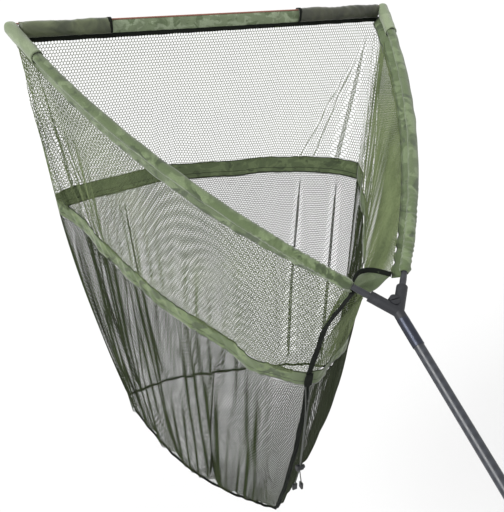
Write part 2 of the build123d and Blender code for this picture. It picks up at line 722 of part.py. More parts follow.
with BuildPart() as lock_button:
    with BuildSketch(across_lock(plunger_end)):
        Circle(PLUNGER_R)
    extrude(amount=barrel_end + LOCK_LENGTH + PLUNGER_OUT - plunger_end)
    fillet(lock_button.edges().filter_by(GeomType.CIRCLE).sort_by(Axis.X)[-1], BUTTON_ROUND)
    # the hole is long enough for the strands at both ends of the button's travel
    with BuildSketch(above_lock):
        with Locations((BUTTON_TRAVEL / 2, 0)):
            Circle(BUTTON_HOLE_R)
    extrude(amount=4 * LOCK_R, mode=Mode.SUBTRACT)
save(lock_button, "lock_button")

coil_height = SPRING_SPACE - 2 * SPRING_WIRE_R
with BuildPart() as lock_spring:
    coil_start = lock_centre + lock_side * (barrel_end + LOCK_WALL + SPRING_WIRE_R)
    with BuildLine() as coil:
        Helix(coil_height / SPRING_TURNS, coil_height, SPRING_R, center=coil_start, direction=lock_side)
    with BuildSketch(Plane(origin=coil.edges()[0] @ 0, z_dir=coil.edges()[0] % 0)):
        Circle(SPRING_WIRE_R)
    sweep(path=coil.wires()[0], is_frenet=True)
save(lock_spring, "lock_spring")

with BuildPart() as end_stops:
    for side, turn in ((-1, 0), (1, 1)):
        top = hanging(side * END_HALF, EXIT_CLEAR + side * STRAND_HALF, END_DROP + STOP_BELOW)
        wide, thick, tall = STOP_SIZE
        with BuildSketch(Plane(origin=top, x_dir=(1, 0, 0), z_dir=(0, 0, -1))):
            RectangleRounded(*((thick, wide) if turn else (wide, thick)), STOP_ROUND)
        extrude(amount=tall)
save(end_stops, "end_stops")
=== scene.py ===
import json
from math import asin, atan2, ceil, cos, pi, radians, sin

import bpy
import numpy as np
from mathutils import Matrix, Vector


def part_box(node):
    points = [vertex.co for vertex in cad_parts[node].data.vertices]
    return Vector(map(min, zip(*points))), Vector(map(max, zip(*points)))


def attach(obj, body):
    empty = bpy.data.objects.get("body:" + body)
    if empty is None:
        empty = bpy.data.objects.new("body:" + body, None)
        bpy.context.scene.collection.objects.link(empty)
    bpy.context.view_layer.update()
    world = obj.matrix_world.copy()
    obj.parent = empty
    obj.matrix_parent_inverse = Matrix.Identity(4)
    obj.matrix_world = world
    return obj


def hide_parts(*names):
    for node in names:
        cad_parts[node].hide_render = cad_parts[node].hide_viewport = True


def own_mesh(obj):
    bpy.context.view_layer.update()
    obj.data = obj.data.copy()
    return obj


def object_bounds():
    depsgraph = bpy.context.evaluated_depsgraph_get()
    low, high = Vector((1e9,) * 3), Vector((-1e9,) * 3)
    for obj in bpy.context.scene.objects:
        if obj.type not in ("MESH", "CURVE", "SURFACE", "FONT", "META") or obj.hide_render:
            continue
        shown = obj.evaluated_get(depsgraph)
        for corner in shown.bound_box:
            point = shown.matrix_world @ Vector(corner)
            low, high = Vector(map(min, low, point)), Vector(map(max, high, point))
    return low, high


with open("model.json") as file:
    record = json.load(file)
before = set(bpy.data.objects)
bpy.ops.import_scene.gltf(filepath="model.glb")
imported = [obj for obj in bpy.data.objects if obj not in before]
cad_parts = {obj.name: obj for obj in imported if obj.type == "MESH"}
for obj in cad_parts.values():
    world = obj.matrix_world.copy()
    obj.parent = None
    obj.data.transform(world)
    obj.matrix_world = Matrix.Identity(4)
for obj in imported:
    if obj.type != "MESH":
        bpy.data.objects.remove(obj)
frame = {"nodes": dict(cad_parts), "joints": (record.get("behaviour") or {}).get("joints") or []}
cad_low, cad_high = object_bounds()

# ---- The studio ----
# The net is held out level by its grip, so the bag hangs clear of the floor. The floor is a wide
# pale sheet, and the light is a white room with one broad soft light from the left, a little above.
scene = bpy.context.scene
scene.view_settings.view_transform = "Standard"

screw = next(joint for joint in frame["joints"] if joint["name"] == "head_unscrews")
apex = np.array(screw["pos_m"])  # where the two arms' lines meet
along = np.array(screw["axis"])  # from the grip to the front cord
across = np.array((1.0, 0.0, 0.0))
plumb = np.array((0.0, 0.0, -1.0))
normal = np.cross(across, along)


def place(x, y, drop=0.0):
    """Points over the frame's plane: x to the right, y forward from the apex, and plumb down."""
    return apex + np.multiply.outer(x, across) + np.multiply.outer(y, along) + np.multiply.outer(drop, plumb)


def new_object(name, data):
    made = bpy.data.objects.new(name, data)
    scene.collection.objects.link(made)
    return made


camera = new_object("camera", bpy.data.cameras.new("camera"))
camera.data.sensor_width = 36
camera.data.lens = 42.19
camera.location = apex + (-0.6487, -0.7288, 0.6080)
camera.rotation_euler = (radians(90 - 27.66), 0, radians(-25.55))
scene.camera = camera

floor_level = cad_low.z - 1.1
floor_half = 60.0
floor = new_object("floor", bpy.data.meshes.new("floor"))
floor_turns = ((-1, -1), (1, -1), (1, 1), (-1, 1))
floor_corners = [(x * floor_half, y * floor_half, floor_level) for x, y in floor_turns]
floor.data.from_pydata(floor_corners, [], [(0, 1, 2, 3)])
floor_paint = bpy.data.materials.new("pale_floor")
floor_paint.use_nodes = True
paint = floor_paint.node_tree.nodes["Principled BSDF"]
paint.inputs["Base Color"].default_value = (0.655, 0.655, 0.655, 1)
paint.inputs["Roughness"].default_value = 0.9
paint.inputs["Specular IOR Level"].default_value = 0.0
floor.data.materials.append(floor_paint)

room = bpy.data.worlds.new("room")
room.use_nodes = True
room.node_tree.nodes["Background"].inputs["Color"].default_value = (1, 1, 1, 1)
room.node_tree.nodes["Background"].inputs["Strength"].default_value = 1.0
scene.world = room

sun = new_object("window_light", bpy.data.lights.new("window_light", "SUN"))
sun.data.energy = 3.4
sun.data.angle = radians(35)
sun.rotation_euler = (radians(58), 0, radians(-82))


# ---- Drawcord ----
# Two strands of 3 mm braided nylon cord. They come out of the channel in the belt through the exit
# patch, run side by side through the cord lock and part again to a moulded stop on each end.
def node(tree, kind, inputs=None, **settings):
    """A shader node. An input is a number, a colour or another node's socket."""
    made = tree.nodes.new(kind)
    for name, value in settings.items():
        setattr(made, name, value)
    for socket, value in (inputs or {}).items():
        if isinstance(value, bpy.types.NodeSocket):
            tree.links.new(value, made.inputs[socket])
        else:
            made.inputs[socket].default_value = value
    return made


def math_of(tree, operation, first, second=0.0):
    """The value of one operation on two numbers or sockets."""
    return node(tree, "ShaderNodeMath", {0: first, 1: second}, operation=operation).outputs[0]


def spot_on(tree):
    """The place on the piece, as a vector."""
    return node(tree, "ShaderNodeTexCoord").outputs["Object"]


def noise(tree, spot, scale, detail):
    """Soft noise of one scale, from 0 to 1."""
    return node(tree, "ShaderNodeTexNoise", {"Vector": spot, "Scale": scale, "Detail": detail}).outputs["Fac"]


def effect(name, inputs, outputs):
    """An empty node group with its sockets, its input node and its output node."""
    group = bpy.data.node_groups.new(name, "ShaderNodeTree")
    for label, kind, start in inputs:
        socket = group.interface.new_socket(label, in_out="INPUT", socket_type=kind)
        socket.default_value = start
    for label, kind in outputs:
        group.interface.new_socket(label, in_out="OUTPUT", socket_type=kind)
    return group, group.nodes.new("NodeGroupInput"), group.nodes.new("NodeGroupOutput")


def placed(tree, group, inputs):
    """A node group placed in a material."""
    return node(tree, "ShaderNodeGroup", inputs, node_tree=group)


def finish(name, roughness, specular=0.3, sheen=0.0, metallic=0.0):
    """A new material with its shader, ready for its colour, roughness and bump."""
    material = bpy.data.materials.new(name)
    material.use_nodes = True
    tree = material.node_tree
    shader = tree.nodes["Principled BSDF"]
    shader.inputs["Roughness"].default_value = roughness
    shader.inputs["Specular IOR Level"].default_value = specular
    shader.inputs["Sheen Weight"].default_value = sheen
    shader.inputs["Metallic"].default_value = metallic
    return material, tree, shader


def bumped(tree, shader, height, distance, strength=1.0):
    """Joins a height in 0 to 1 to the shader as a bump of that many metres."""
    bump = node(tree, "ShaderNodeBump", {"Height": height, "Distance": distance, "Strength": strength})
    tree.links.new(bump.outputs["Normal"], shader.inputs["Normal"])


def two_tone(tree, amount, first, second):
    """A colour between two, by an amount."""
    mixed = node(tree, "ShaderNodeMix", {0: amount, 6: (*first, 1), 7: (*second, 1)}, data_type="RGBA")
    return mixed.outputs[2]


def coloured(tree, shader, amount, first, second):
    """Joins a colour between two to the shader, by an amount."""
    tree.links.new(two_tone(tree, amount, first, second), shader.inputs["Base Color"])


def uneven(tree, shader, value, low, high):
    """Joins a roughness from low to high to the shader, by a value."""
    rough = node(tree, "ShaderNodeMapRange", {"Value": value, "To Min": low, "To Max": high})
    tree.links.new(rough.outputs[0], shader.inputs["Roughness"])


# braided cord: two sets of diagonal yarns that cross round the cord; its Shade is painted shade, darker in
# the gaps between the yarns and lighter on their crests, times a fuzz
braid, braid_in, braid_out = effect(
    "braided_yarns",
    [("Yarns", "NodeSocketFloat", 900.0)],
    [("Height", "NodeSocketFloat"), ("Shade", "NodeSocketFloat")],
)
spot = spot_on(braid)
yarn_heights = []
for lean in (1.0, -1.0):
    turned = node(braid, "ShaderNodeMapping", {"Vector": spot, "Rotation": (0, lean * 0.7, lean * 0.6)})
    yarns = node(braid, "ShaderNodeTexWave", {"Vector": turned.outputs[0], "Scale": braid_in.outputs[0],
                                              "Distortion": 0.6, "Detail": 1.0})
    yarn_heights.append(yarns.outputs["Fac"])
crossed = math_of(braid, "MAXIMUM", *yarn_heights)
braid.links.new(crossed, braid_out.inputs["Height"])
fuzz = noise(braid, spot, 260.0, 3.0)
braid.links.new(math_of(braid, "MULTIPLY", crossed, fuzz), braid_out.inputs["Shade"])


def braided(name, dark, light):
    """Braided nylon cord in two shades of one colour, mixed by painted shade between the yarns and by fuzz.
    """
    material, tree, shader = finish(name, 0.7, sheen=0.25)
    yarns = placed(tree, braid, {"Yarns": 420.0})
    # painted shade: the cord's colour is darker in the gaps between its yarns and lighter on their crests
    coloured(tree, shader, yarns.outputs["Shade"], dark, light)
    bumped(tree, shader, yarns.outputs["Height"], 0.0003)
    return material


black_braid = braided("black_braid", (0.012, 0.014, 0.012), (0.06, 0.07, 0.055))

belt_foot = 0.424  # plumb drops below the frame's plane
seam_at_foot = (-0.05533, 0.24214)
patch_middle = 0.0038  # from the seam out to the middle of the patch
exit_below = 0.0013
cord_lean = 0.06
strand_radius = 0.0015
cord_exit = place(seam_at_foot[0], seam_at_foot[1] - patch_middle, belt_foot + exit_below)


def hanging(aside, back, drop):
    """A place on the hanging drawcord, from the middle of its two exits."""
    return cord_exit + (aside - cord_lean * drop, -back, -drop)


def smooth_cord(name, route, shares, radius):
    """A round cord on one smooth curve. The shares of its radius make it slimmer where it is squeezed."""
    curve = bpy.data.curves.new(name, "CURVE")
    curve.dimensions = "3D"
    line = curve.splines.new("NURBS")
    line.points.add(len(route) - 1)
    for point, spot, share in zip(line.points, route, shares):
        point.co = (*spot, 1)
        point.radius = share
    line.order_u = 3
    line.use_endpoint_u = True
    line.resolution_u = 12
    curve.bevel_depth = radius
    curve.bevel_resolution = 4
    curve.use_fill_caps = True
    return new_object(name, curve)


for name, side in (("left", -1), ("right", 1)):
    inside = 0.009 + side * 0.00175
    route = [
        hanging(side * 0.005, 0.0, 0.0),
        hanging(side * 0.0056, 0.005, 0.020),
        hanging(side * 0.0042, 0.0075, 0.046),
        hanging(0.0, inside, 0.092),
        hanging(0.0, inside, 0.234),
        hanging(-0.0006, inside, 0.243),
        hanging(-0.0006, inside, 0.253),
        hanging(0.0, inside, 0.262),
        hanging(side * 0.0085, inside, 0.303),
    ]
    squeezed = [1, 1, 1, 1, 1, 0.5, 0.5, 1, 1]
    strand = smooth_cord(f"{name}_drawcord_strand", route, squeezed, strand_radius)
    strand.data.materials.append(black_braid)
    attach(strand, "head")
    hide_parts(f"{name}_drawcord")


def dress(node_name, material):
    """Gives a CAD piece its material."""
    piece = frame["nodes"][node_name]
    piece.data.materials.clear()
    piece.data.materials.append(material)


# ---- Front cord ----
# A tight 4 mm braided cord in a reddish brown. It ties the two arm tips together and bends the
# arms, and it shows as a thin line along the top of the cloth strip between the float sleeves.
dress("front_cord", braided("rust_braid", (0.16, 0.05, 0.03), (0.42, 0.2, 0.13)))

# ---- Moulded plastics ----
# The Y block, the collars and the tip caps are glass-filled nylon with a fine spark-eroded grain.
# The cord lock, its button and the end stops are the same black, a little smoother.
grain, grain_in, grain_out = effect(
    "moulded_grain",
    [("Size", "NodeSocketFloat", 1500.0), ("Scuff", "NodeSocketFloat", 0.2)],
    [("Height", "NodeSocketFloat"), ("Scuffs", "NodeSocketFloat")],
)
spot = spot_on(grain)
fine = node(grain, "ShaderNodeTexNoise", {"Vector": spot, "Scale": grain_in.outputs["Size"], "Detail": 4.0})
grain.links.new(fine.outputs["Fac"], grain_out.inputs["Height"])
rubs = node(grain, "ShaderNodeTexNoise", {"Vector": spot, "Scale": 70.0, "Detail": 6.0, "Roughness": 0.7})
ends = node(grain, "ShaderNodeMapRange", {"Value": rubs.outputs["Fac"], "From Min": 0.52, "From Max": 0.75})
scuffs = math_of(grain, "MULTIPLY", ends.outputs[0], grain_in.outputs["Scuff"])
grain.links.new(scuffs, grain_out.inputs["Scuffs"])


def moulded(name, colour, worn_colour, roughness, size, scuff):
    """Moulded plastic: an even grain, and paler rubs."""
    material, tree, shader = finish(name, roughness, specular=0.4)
    surface = placed(tree, grain, {"Size": size, "Scuff": scuff})
    coloured(tree, shader, surface.outputs["Scuffs"], colour, worn_colour)
    uneven(tree, shader, surface.outputs["Height"], roughness - 0.08, roughness + 0.12)
    bumped(tree, shader, surface.outputs["Height"], 0.00012)
    return material


block_plastic = moulded("block_plastic", (0.010, 0.011, 0.014), (0.040, 0.042, 0.048), 0.55, 900.0, 0.5)
small_plastic = moulded("small_plastic", (0.008, 0.009, 0.010), (0.04, 0.04, 0.043), 0.45, 1600.0, 0.5)
for node_name in ("spreader_block", "upper_collar", "lower_collar"):
    dress(node_name, block_plastic)
for node_name in ("left_tip_cap", "right_tip_cap", "cord_lock", "lock_button", "end_stops"):
    dress(node_name, small_plastic)

# ---- Handle tubes and arms ----
# The handle is a wrapped carbon tube, ground and lacquered satin, with faint turns of its wrap
# under the lacquer. The arms are solid glass fibre rods in the same dark finish.
wrap, wrap_in, wrap_out = effect(
    "wrapped_fibre",
    [("Turns", "NodeSocketFloat", 60.0), ("Lean", "NodeSocketVector", (0.0, 0.0, 0.0))],
    [("Height", "NodeSocketFloat"), ("Shade", "NodeSocketFloat")],
)
spot = spot_on(wrap)
turned = node(wrap, "ShaderNodeMapping", {"Vector": spot, "Rotation": wrap_in.outputs["Lean"]})
bands = node(wrap, "ShaderNodeTexWave", {"Vector": turned.outputs[0], "Scale": wrap_in.outputs["Turns"],
                                         "Distortion": 1.5, "Detail": 2.0}, bands_direction="Y")
specks = noise(wrap, spot, 420.0, 5.0)
wrap.links.new(bands.outputs["Fac"], wrap_out.inputs["Height"])
wrap.links.new(math_of(wrap, "MULTIPLY", bands.outputs["Fac"], specks), wrap_out.inputs["Shade"])


def lacquered(name, dark, light, roughness, lean):
    """Lacquered fibre: turns of wrap that just show, and a little orange peel."""
    material, tree, shader = finish(name, roughness, specular=0.5)
    fibre = placed(tree, wrap, {"Turns": 18.0, "Lean": lean})
    coloured(tree, shader, fibre.outputs["Shade"], dark, light)
    uneven(tree, shader, fibre.outputs["Shade"], roughness - 0.05, roughness + 0.1)
    bumped(tree, shader, fibre.outputs["Height"], 0.00006)
    return material


frame_slope = asin(along[2])
handle_lacquer = lacquered(
    "handle_lacquer", (0.014, 0.016, 0.021), (0.030, 0.034, 0.043), 0.36, (-frame_slope, 0, 0)
)
for node_name in ("upper_tube", "lower_tube", "spigot"):
    dress(node_name, handle_lacquer)
arm_lacquer = lacquered("arm_lacquer", (0.012, 0.013, 0.017), (0.028, 0.030, 0.036), 0.42, (0, 0, 0.6))
for node_name in ("left_arm", "right_arm"):
    dress(node_name, arm_lacquer)

# ---- Ferrule ----
# An aluminium collar over the end of the handle, anodised dark, with fine turning lines round it.
anodised, tree, shader = finish("dark_anodised", 0.3, specular=0.5, metallic=0.85)
spot = spot_on(tree)
turned = node(tree, "ShaderNodeMapping", {"Vector": spot, "Rotation": (-frame_slope, 0, 0)})
lines = node(tree, "ShaderNodeTexWave", {"Vector": turned.outputs[0], "Scale": 480.0, "Distortion": 0.4},
             bands_direction="Y")
haze = noise(tree, spot, 90.0, 4.0)
coloured(tree, shader, haze, (0.022, 0.025, 0.036), (0.050, 0.054, 0.070))
bumped(tree, shader, lines.outputs["Fac"], 0.00003)
dress("ferrule", anodised)

# ---- Screw ----
# The three-eighths inch stud in the block and the insert in the handle are turned brass.
brass, tree, shader = finish("turned_brass", 0.3, metallic=1.0)
spot = spot_on(tree)
turned = node(tree, "ShaderNodeMapping", {"Vector": spot, "Rotation": (-frame_slope, 0, 0)})
threads = node(tree, "ShaderNodeTexWave", {"Vector": turned.outputs[0], "Scale": 200.0}, bands_direction="Y")
tarnish = noise(tree, spot, 160.0, 4.0)
coloured(tree, shader, tarnish, (0.45, 0.30, 0.10), (0.72, 0.54, 0.24))
bumped(tree, shader, threads.outputs["Fac"], 0.0003)
dress("thread_stud", brass)
dress("thread_insert", brass)

# ---- Lock spring ----
# A small coil of drawn steel wire behind the cord lock's button.
spring_steel, tree, shader = finish("drawn_steel", 0.28, metallic=1.0)
spot = spot_on(tree)
draws = noise(tree, spot, 1400.0, 2.0)
coloured(tree, shader, draws, (0.38, 0.38, 0.40), (0.66, 0.66, 0.68))
dress("lock_spring", spring_steel)
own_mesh(frame["nodes"]["lock_spring"])

# ---- Hand grip and butt cap ----
# The grip is a sleeve of closed-cell foam, ground round, with open pores. The butt cap is a plain
# black rubber moulding pushed on the end of the tube.
foam, tree, shader = finish("grip_foam", 0.85, specular=0.2)
spot = spot_on(tree)
pores = node(tree, "ShaderNodeTexVoronoi", {"Vector": spot, "Scale": 1100.0})
wear = noise(tree, spot, 22.0, 5.0)
coloured(tree, shader, wear, (0.016, 0.016, 0.017), (0.05, 0.05, 0.052))
bumped(tree, shader, pores.outputs["Distance"], 0.0004)
dress("grip", foam)
dress("butt_cap", moulded("butt_rubber", (0.012, 0.012, 0.012), (0.05, 0.05, 0.048), 0.7, 1200.0, 0.8))


# ---- Arm sleeves ----
# Each arm runs in a tube of printed woven polyester. The tube is longer than the arm needs, so it
# lies smooth from the tip to the middle and is gathered in small puckers towards the Y block.
tip_low, tip_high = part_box("front_cord")
net_half = tip_high.x
cord_rise = 0.0074  # the front cord lies above the level of the arm tips
tip_level = np.array((tip_low + tip_high) / 2) - (0, 0, cord_rise) - apex
net_length = float(tip_level @ along)

socket_angle = radians(39.3)
straight_arm = 0.120
chord_x = net_half - straight_arm * sin(socket_angle)
chord_y = net_length - straight_arm * cos(socket_angle)
arc_turn = 2 * (socket_angle - atan2(chord_x, chord_y))
arc_radius = (chord_x**2 + chord_y**2) ** 0.5 / 2 / sin(arc_turn / 2)
arm_length = straight_arm + arc_radius * arc_turn
sleeve_start = 0.097
cover_length = 0.118


def arm_angle(distance):
    return socket_angle - np.maximum(np.asarray(distance, float) - straight_arm, 0) / arc_radius


def arm_place(side, distance):
    """Where an arm's line is in the frame's plane: straight from the apex, then one arc."""
    angle = arm_angle(distance)
    straight = np.minimum(distance, straight_arm)
    x = straight * sin(socket_angle) + arc_radius * (np.cos(angle) - cos(socket_angle))
    y = straight * cos(socket_angle) + arc_radius * (sin(socket_angle) - np.sin(angle))
    return side * x, y


def rumple(first, second, lengths, seed, waves=7):
    """Soft uneven ripples over a cloth's own two directions, mostly within -1 to 1."""
    random = np.random.default_rng(seed)
    total = 0.0
    for _ in range(waves):
        a, b = random.uniform(0.5, 1.7, 2) * random.choice((-1, 1), 2)
        phase = random.uniform(0, 2 * pi)
        total = total + np.sin(2 * pi * (first * a / lengths[0] + second * b / lengths[1]) + phase)
    return total / waves * 1.9


def ramp(value, start, end):
    """A smooth rise from 0 at start to 1 at end."""
    share = np.clip((value - start) / (end - start), 0, 1)
    return share * share * (3 - 2 * share)


def cloth(name, grid, closed=False, thick=0.0, smoother=0):
    """A piece of cloth through rows of points, with a map in metres named cut.
    Closed joins each row's end to its start. Thick makes it a closed solid."""
    rows, columns = grid.shape[:2]
    wide = np.concatenate((grid, grid[:, :1]), axis=1) if closed else grid
    steps_u = np.linalg.norm(np.diff(wide, axis=1), axis=2).mean(axis=0)
    steps_v = np.linalg.norm(np.diff(wide, axis=0), axis=2).mean(axis=1)
    u = np.concatenate(([0.0], np.cumsum(steps_u)))
    v = np.concatenate(([0.0], np.cumsum(steps_v)))
    faces, spots = [], []
    for i in range(rows - 1):
        for j in range(wide.shape[1] - 1):
            k = (j + 1) % columns
            faces.append((i * columns + j, i * columns + k, (i + 1) * columns + k, (i + 1) * columns + j))
            spots += [(u[j], v[i]), (u[j + 1], v[i]), (u[j + 1], v[i + 1]), (u[j], v[i + 1])]
    mesh = bpy.data.meshes.new(name)
    mesh.from_pydata(grid.reshape(-1, 3).tolist(), [], faces)
    layer = mesh.uv_layers.new(name="cut")
    layer.uv.foreach_set("vector", np.array(spots, np.float32).ravel())
    mesh.polygons.foreach_set("use_smooth", [True] * len(faces))
    piece = new_object(name, mesh)
    if smoother:
        piece.modifiers.new("smoother", "SUBSURF").levels = smoother
        piece.modifiers["smoother"].render_levels = smoother
    if thick:
        solid = piece.modifiers.new("thick", "SOLIDIFY")
        solid.thickness = thick
        solid.offset = 0.0
    return piece


def sew(piece, material, slot, *nodes):
    """Hangs a cloth piece on the head in the place of its CAD solids."""
    piece.data.materials.append(material)
    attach(piece, "head")
    if nodes:
        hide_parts(*nodes)
    return piece


# plain weave: warp and weft ridges from the cloth's own map, and slubs
weave, weave_in, weave_out = effect(
    "plain_weave",
    [("Threads", "NodeSocketFloat", 1600.0)],
    [(label, "NodeSocketFloat") for label in ("Height", "Slub", "Across", "Up")],
)
cut = node(weave, "ShaderNodeUVMap", uv_map="cut").outputs[0]
parted = node(weave, "ShaderNodeSeparateXYZ", {0: cut})
ridges = []
for axis in ("X", "Y"):
    turns = math_of(weave, "MULTIPLY", parted.outputs[axis], weave_in.outputs["Threads"])
    ridges.append(math_of(weave, "SINE", turns))
height = math_of(weave, "MULTIPLY", *ridges)
weave.links.new(math_of(weave, "MULTIPLY_ADD", height, 0.5), weave_out.inputs["Height"])
slubs = noise(weave, cut, 340.0, 3.0)
weave.links.new(slubs, weave_out.inputs["Slub"])
weave.links.new(parted.outputs["X"], weave_out.inputs["Across"])
weave.links.new(parted.outputs["Y"], weave_out.inputs["Up"])


def over(tree, amount, under, top):
    """A colour laid over another, by an amount. Each is a colour or a socket."""
    return node(tree, "ShaderNodeMix", {0: amount, 6: under, 7: top}, data_type="RGBA").outputs[2]


# printed camouflage: three tones in long soft-edged patches
print_group, print_in, print_out = effect(
    "patch_print",
    [("Light", "NodeSocketColor", (0.5, 0.5, 0.5, 1)), ("Middle", "NodeSocketColor", (0.3, 0.3, 0.3, 1)),
     ("Dark", "NodeSocketColor", (0.1, 0.1, 0.1, 1)), ("Patches", "NodeSocketFloat", 18.0)],
    [("Color", "NodeSocketColor")],
)
spot = spot_on(print_group)
stretched = node(print_group, "ShaderNodeMapping", {"Vector": spot, "Scale": (1.0, 0.6, 1.2)})
colour = print_in.outputs["Middle"]
for tone, start, detail in (("Light", 0.50, 2.0), ("Dark", 0.56, 3.0)):
    moved = node(print_group, "ShaderNodeMapping", {"Vector": stretched.outputs[0],
                                                    "Location": (start * 9, 1.0, start)})
    patches = node(print_group, "ShaderNodeTexNoise", {
        "Vector": moved.outputs[0], "Scale": print_in.outputs["Patches"],
        "Detail": detail, "Distortion": 0.8})
    edge = node(print_group, "ShaderNodeMapRange", {
        "Value": patches.outputs["Fac"], "From Min": start, "From Max": start + 0.06})
    colour = over(print_group, edge.outputs[0], colour, print_in.outputs[tone])
print_group.links.new(colour, print_out.inputs["Color"])


def printed(name, light, middle, dark, patches, threads=2600.0, roughness=0.8, hems=()):
    """Printed woven cloth. Hems are (height, width, share of dark) lines along its map."""
    material, tree, shader = finish(name, roughness, specular=0.25, sheen=0.3)
    tones = {"Light": (*light, 1), "Middle": (*middle, 1), "Dark": (*dark, 1)}
    pattern = placed(tree, print_group, {**tones, "Patches": patches})
    threads_of = placed(tree, weave, {"Threads": threads})
    shade = node(tree, "ShaderNodeMapRange", {
        "Value": threads_of.outputs["Slub"], "From Min": 0.3, "From Max": 0.7, "To Min": 0.0, "To Max": 0.35})
    colour = over(tree, shade.outputs[0], pattern.outputs["Color"], (*dark, 1))
    for height, width, amount in hems:
        off = math_of(tree, "ABSOLUTE", math_of(tree, "SUBTRACT", threads_of.outputs["Up"], height))
        line = node(tree, "ShaderNodeMapRange", {"Value": off, "From Min": width, "From Max": width * 0.6,
                                                 "To Min": 0.0, "To Max": amount})
        black = (dark[0] * 0.35, dark[1] * 0.35, dark[2] * 0.35, 1)
        colour = over(tree, line.outputs[0], colour, black)
    tree.links.new(colour, shader.inputs["Base Color"])
    uneven(tree, shader, threads_of.outputs["Slub"], roughness - 0.1, roughness + 0.1)
    bumped(tree, shader, threads_of.outputs["Height"], 0.0002)
    return material


camo_light, camo_middle, camo_dark = (0.130, 0.170, 0.085), (0.080, 0.110, 0.048), (0.040, 0.057, 0.025)
sleeve_cloth = printed("sleeve_cloth", camo_light, camo_middle, camo_dark, 26.0)
sleeve_radius = 0.0105


def round_arm(side, distances, radius, around=28):
    """Rings round an arm. Radius is an array of one row for each distance and one column each way round."""
    x, y = arm_place(side, distances)
    angle = arm_angle(distances)
    outward = np.multiply.outer(side * np.cos(angle), across) - np.multiply.outer(np.sin(angle), along)
    turn = np.linspace(0, 2 * pi, around, endpoint=False)
    ring = outward[:, None] * np.cos(turn)[None, :, None] + normal * np.sin(turn)[None, :, None]
    return place(x, y)[:, None] + ring * radius[:, :, None]


for name, side in (("left", -1), ("right", 1)):
    distances = np.arange(sleeve_start, arm_length - cover_length + 0.012, 0.0035)
    turn = np.linspace(0, 2 * pi, 28, endpoint=False)
    s, t = np.meshgrid(distances, turn, indexing="ij")
    gathered = 1 - ramp(s, sleeve_start + 0.12, sleeve_start + 0.30)
    puckers = rumple(s, np.sin(t) * 0.02, (0.013, 0.05), 11 + side) * 0.0013 * gathered
    slack = rumple(s, t * 0.01, (0.11, 0.04), 23 + side) * 0.0008
    flat = 1 + 0.10 * np.cos(2 * t) * (1 - gathered)
    drawn_in = 1 - 0.32 * (1 - ramp(s, sleeve_start, sleeve_start + 0.010))
    radius = (sleeve_radius * flat + puckers + slack) * drawn_in
    piece = cloth(f"{name}_arm_sleeve_cloth", round_arm(side, distances, radius), closed=True, thick=0.001)
    sew(piece, sleeve_cloth, "camo_fabric", f"{name}_arm_sleeve")

# ---- Skirts ----
# Below each sleeve its cloth goes on as a flat double skirt, sewn to the netting under a grey-green
# binding tape. It hangs plumb, and its foot waves a little between the stitches.
skirt_foot = 0.042
skirt_cloth = printed("skirt_cloth", camo_light, camo_middle, camo_dark, 24.0, roughness=0.85,
                      hems=((0.034, 0.0038, 0.7), (0.0265, 0.0006, 0.5)))
lean_in = {-1: 0.007, 1: 0.026}  # how far a skirt's foot is drawn in by the bag's weight


def foot_of_skirt(distance):
    """The drop of a skirt's foot: it is shallow at the root, where the cloth is gathered."""
    return 0.022 + (skirt_foot - 0.022) * ramp(distance, sleeve_start, sleeve_start + 0.36)


for name, side in (("left", -1), ("right", 1)):
    distances = np.arange(sleeve_start, arm_length - 0.001, 0.006)
    shares = np.linspace(0, 1, 12)
    k, s = np.meshgrid(shares, distances, indexing="ij")
    d = 0.0092 + (foot_of_skirt(s) - 0.0092) * k
    x, y = arm_place(side, s)
    gathered = 1 - ramp(s, sleeve_start + 0.10, sleeve_start + 0.30)
    sway = k * (0.0014 + 0.0014 * gathered) * rumple(s, d, (0.055, 0.2), 31 + side)
    sway = sway + k * gathered * 0.0012 * rumple(s, d, (0.014, 0.1), 37 + side) - k * lean_in[side]
    angle = arm_angle(s)
    x, y = x + side * sway * np.cos(angle), y - sway * np.sin(angle)
    short = 0.0012 * rumple(s, d * 0, (0.09, 1.0), 41 + side)
    piece = cloth(f"{name}_skirt_cloth", place(x, y, d + k * short), thick=0.0016)
    sew(piece, skirt_cloth, "camo_fabric", f"{name}_skirt")

# ---- Tip covers ----
# A pale cap of the same cloth over each arm tip. It hides the knot of the front cord, and its open
# end is a rolled hem that stands off the sleeve.
cover_cloth = printed("cover_cloth", (0.185, 0.225, 0.135), (0.145, 0.18, 0.105), (0.09, 0.115, 0.06), 15.0)
cover_nose = 0.013
for name, side in (("left", -1), ("right", 1)):
    turn = np.linspace(0, 2 * pi, 28, endpoint=False)
    body = np.arange(arm_length - cover_length, arm_length + 0.001, 0.004)
    s, t = np.meshgrid(body, turn, indexing="ij")
    hem = np.exp(-((s - body[0] - 0.003) / 0.003) ** 2) * 0.0012
    swell = 0.0136 + 0.0010 * ramp(s, body[0], body[-1]) + hem
    hanging_side = np.where(np.sin(t) < 0, 0.30 * np.abs(np.sin(t)) ** 1.5, 0.06)
    radius = swell * (1 + hanging_side) + 0.0008 * rumple(s, t * 0.012, (0.06, 0.03), 51 + side)
    rings = round_arm(side, body, radius)
    centre = place(*arm_place(side, np.array([body[-1]])))
    angle = float(arm_angle(body[-1]))
    ahead = across * side * sin(angle) + along * cos(angle)
    nose = []
    for share in np.linspace(0.25, 1.0, 6):
        keep = max((1 - share**2) ** 0.5, 0.03)
        nose.append(centre + (rings[-1] - centre) * keep + ahead * (cover_nose + 0.002) * share)
    lip_centre = place(*arm_place(side, body[:1]))[:, None]
    inside = lip_centre + (rings[:1] - lip_centre) * 0.86
    deeper_centre = place(*arm_place(side, body[5:6]))[:, None]
    deeper = deeper_centre + (rings[5:6] - deeper_centre) * 0.84
    rows = np.concatenate([deeper, inside, rings, np.array(nose).reshape(-1, 28, 3)])
    piece = cloth(f"{name}_tip_cover_cloth", rows, closed=True)
    sew(piece, cover_cloth, "sage_fabric", f"{name}_tip_cover")

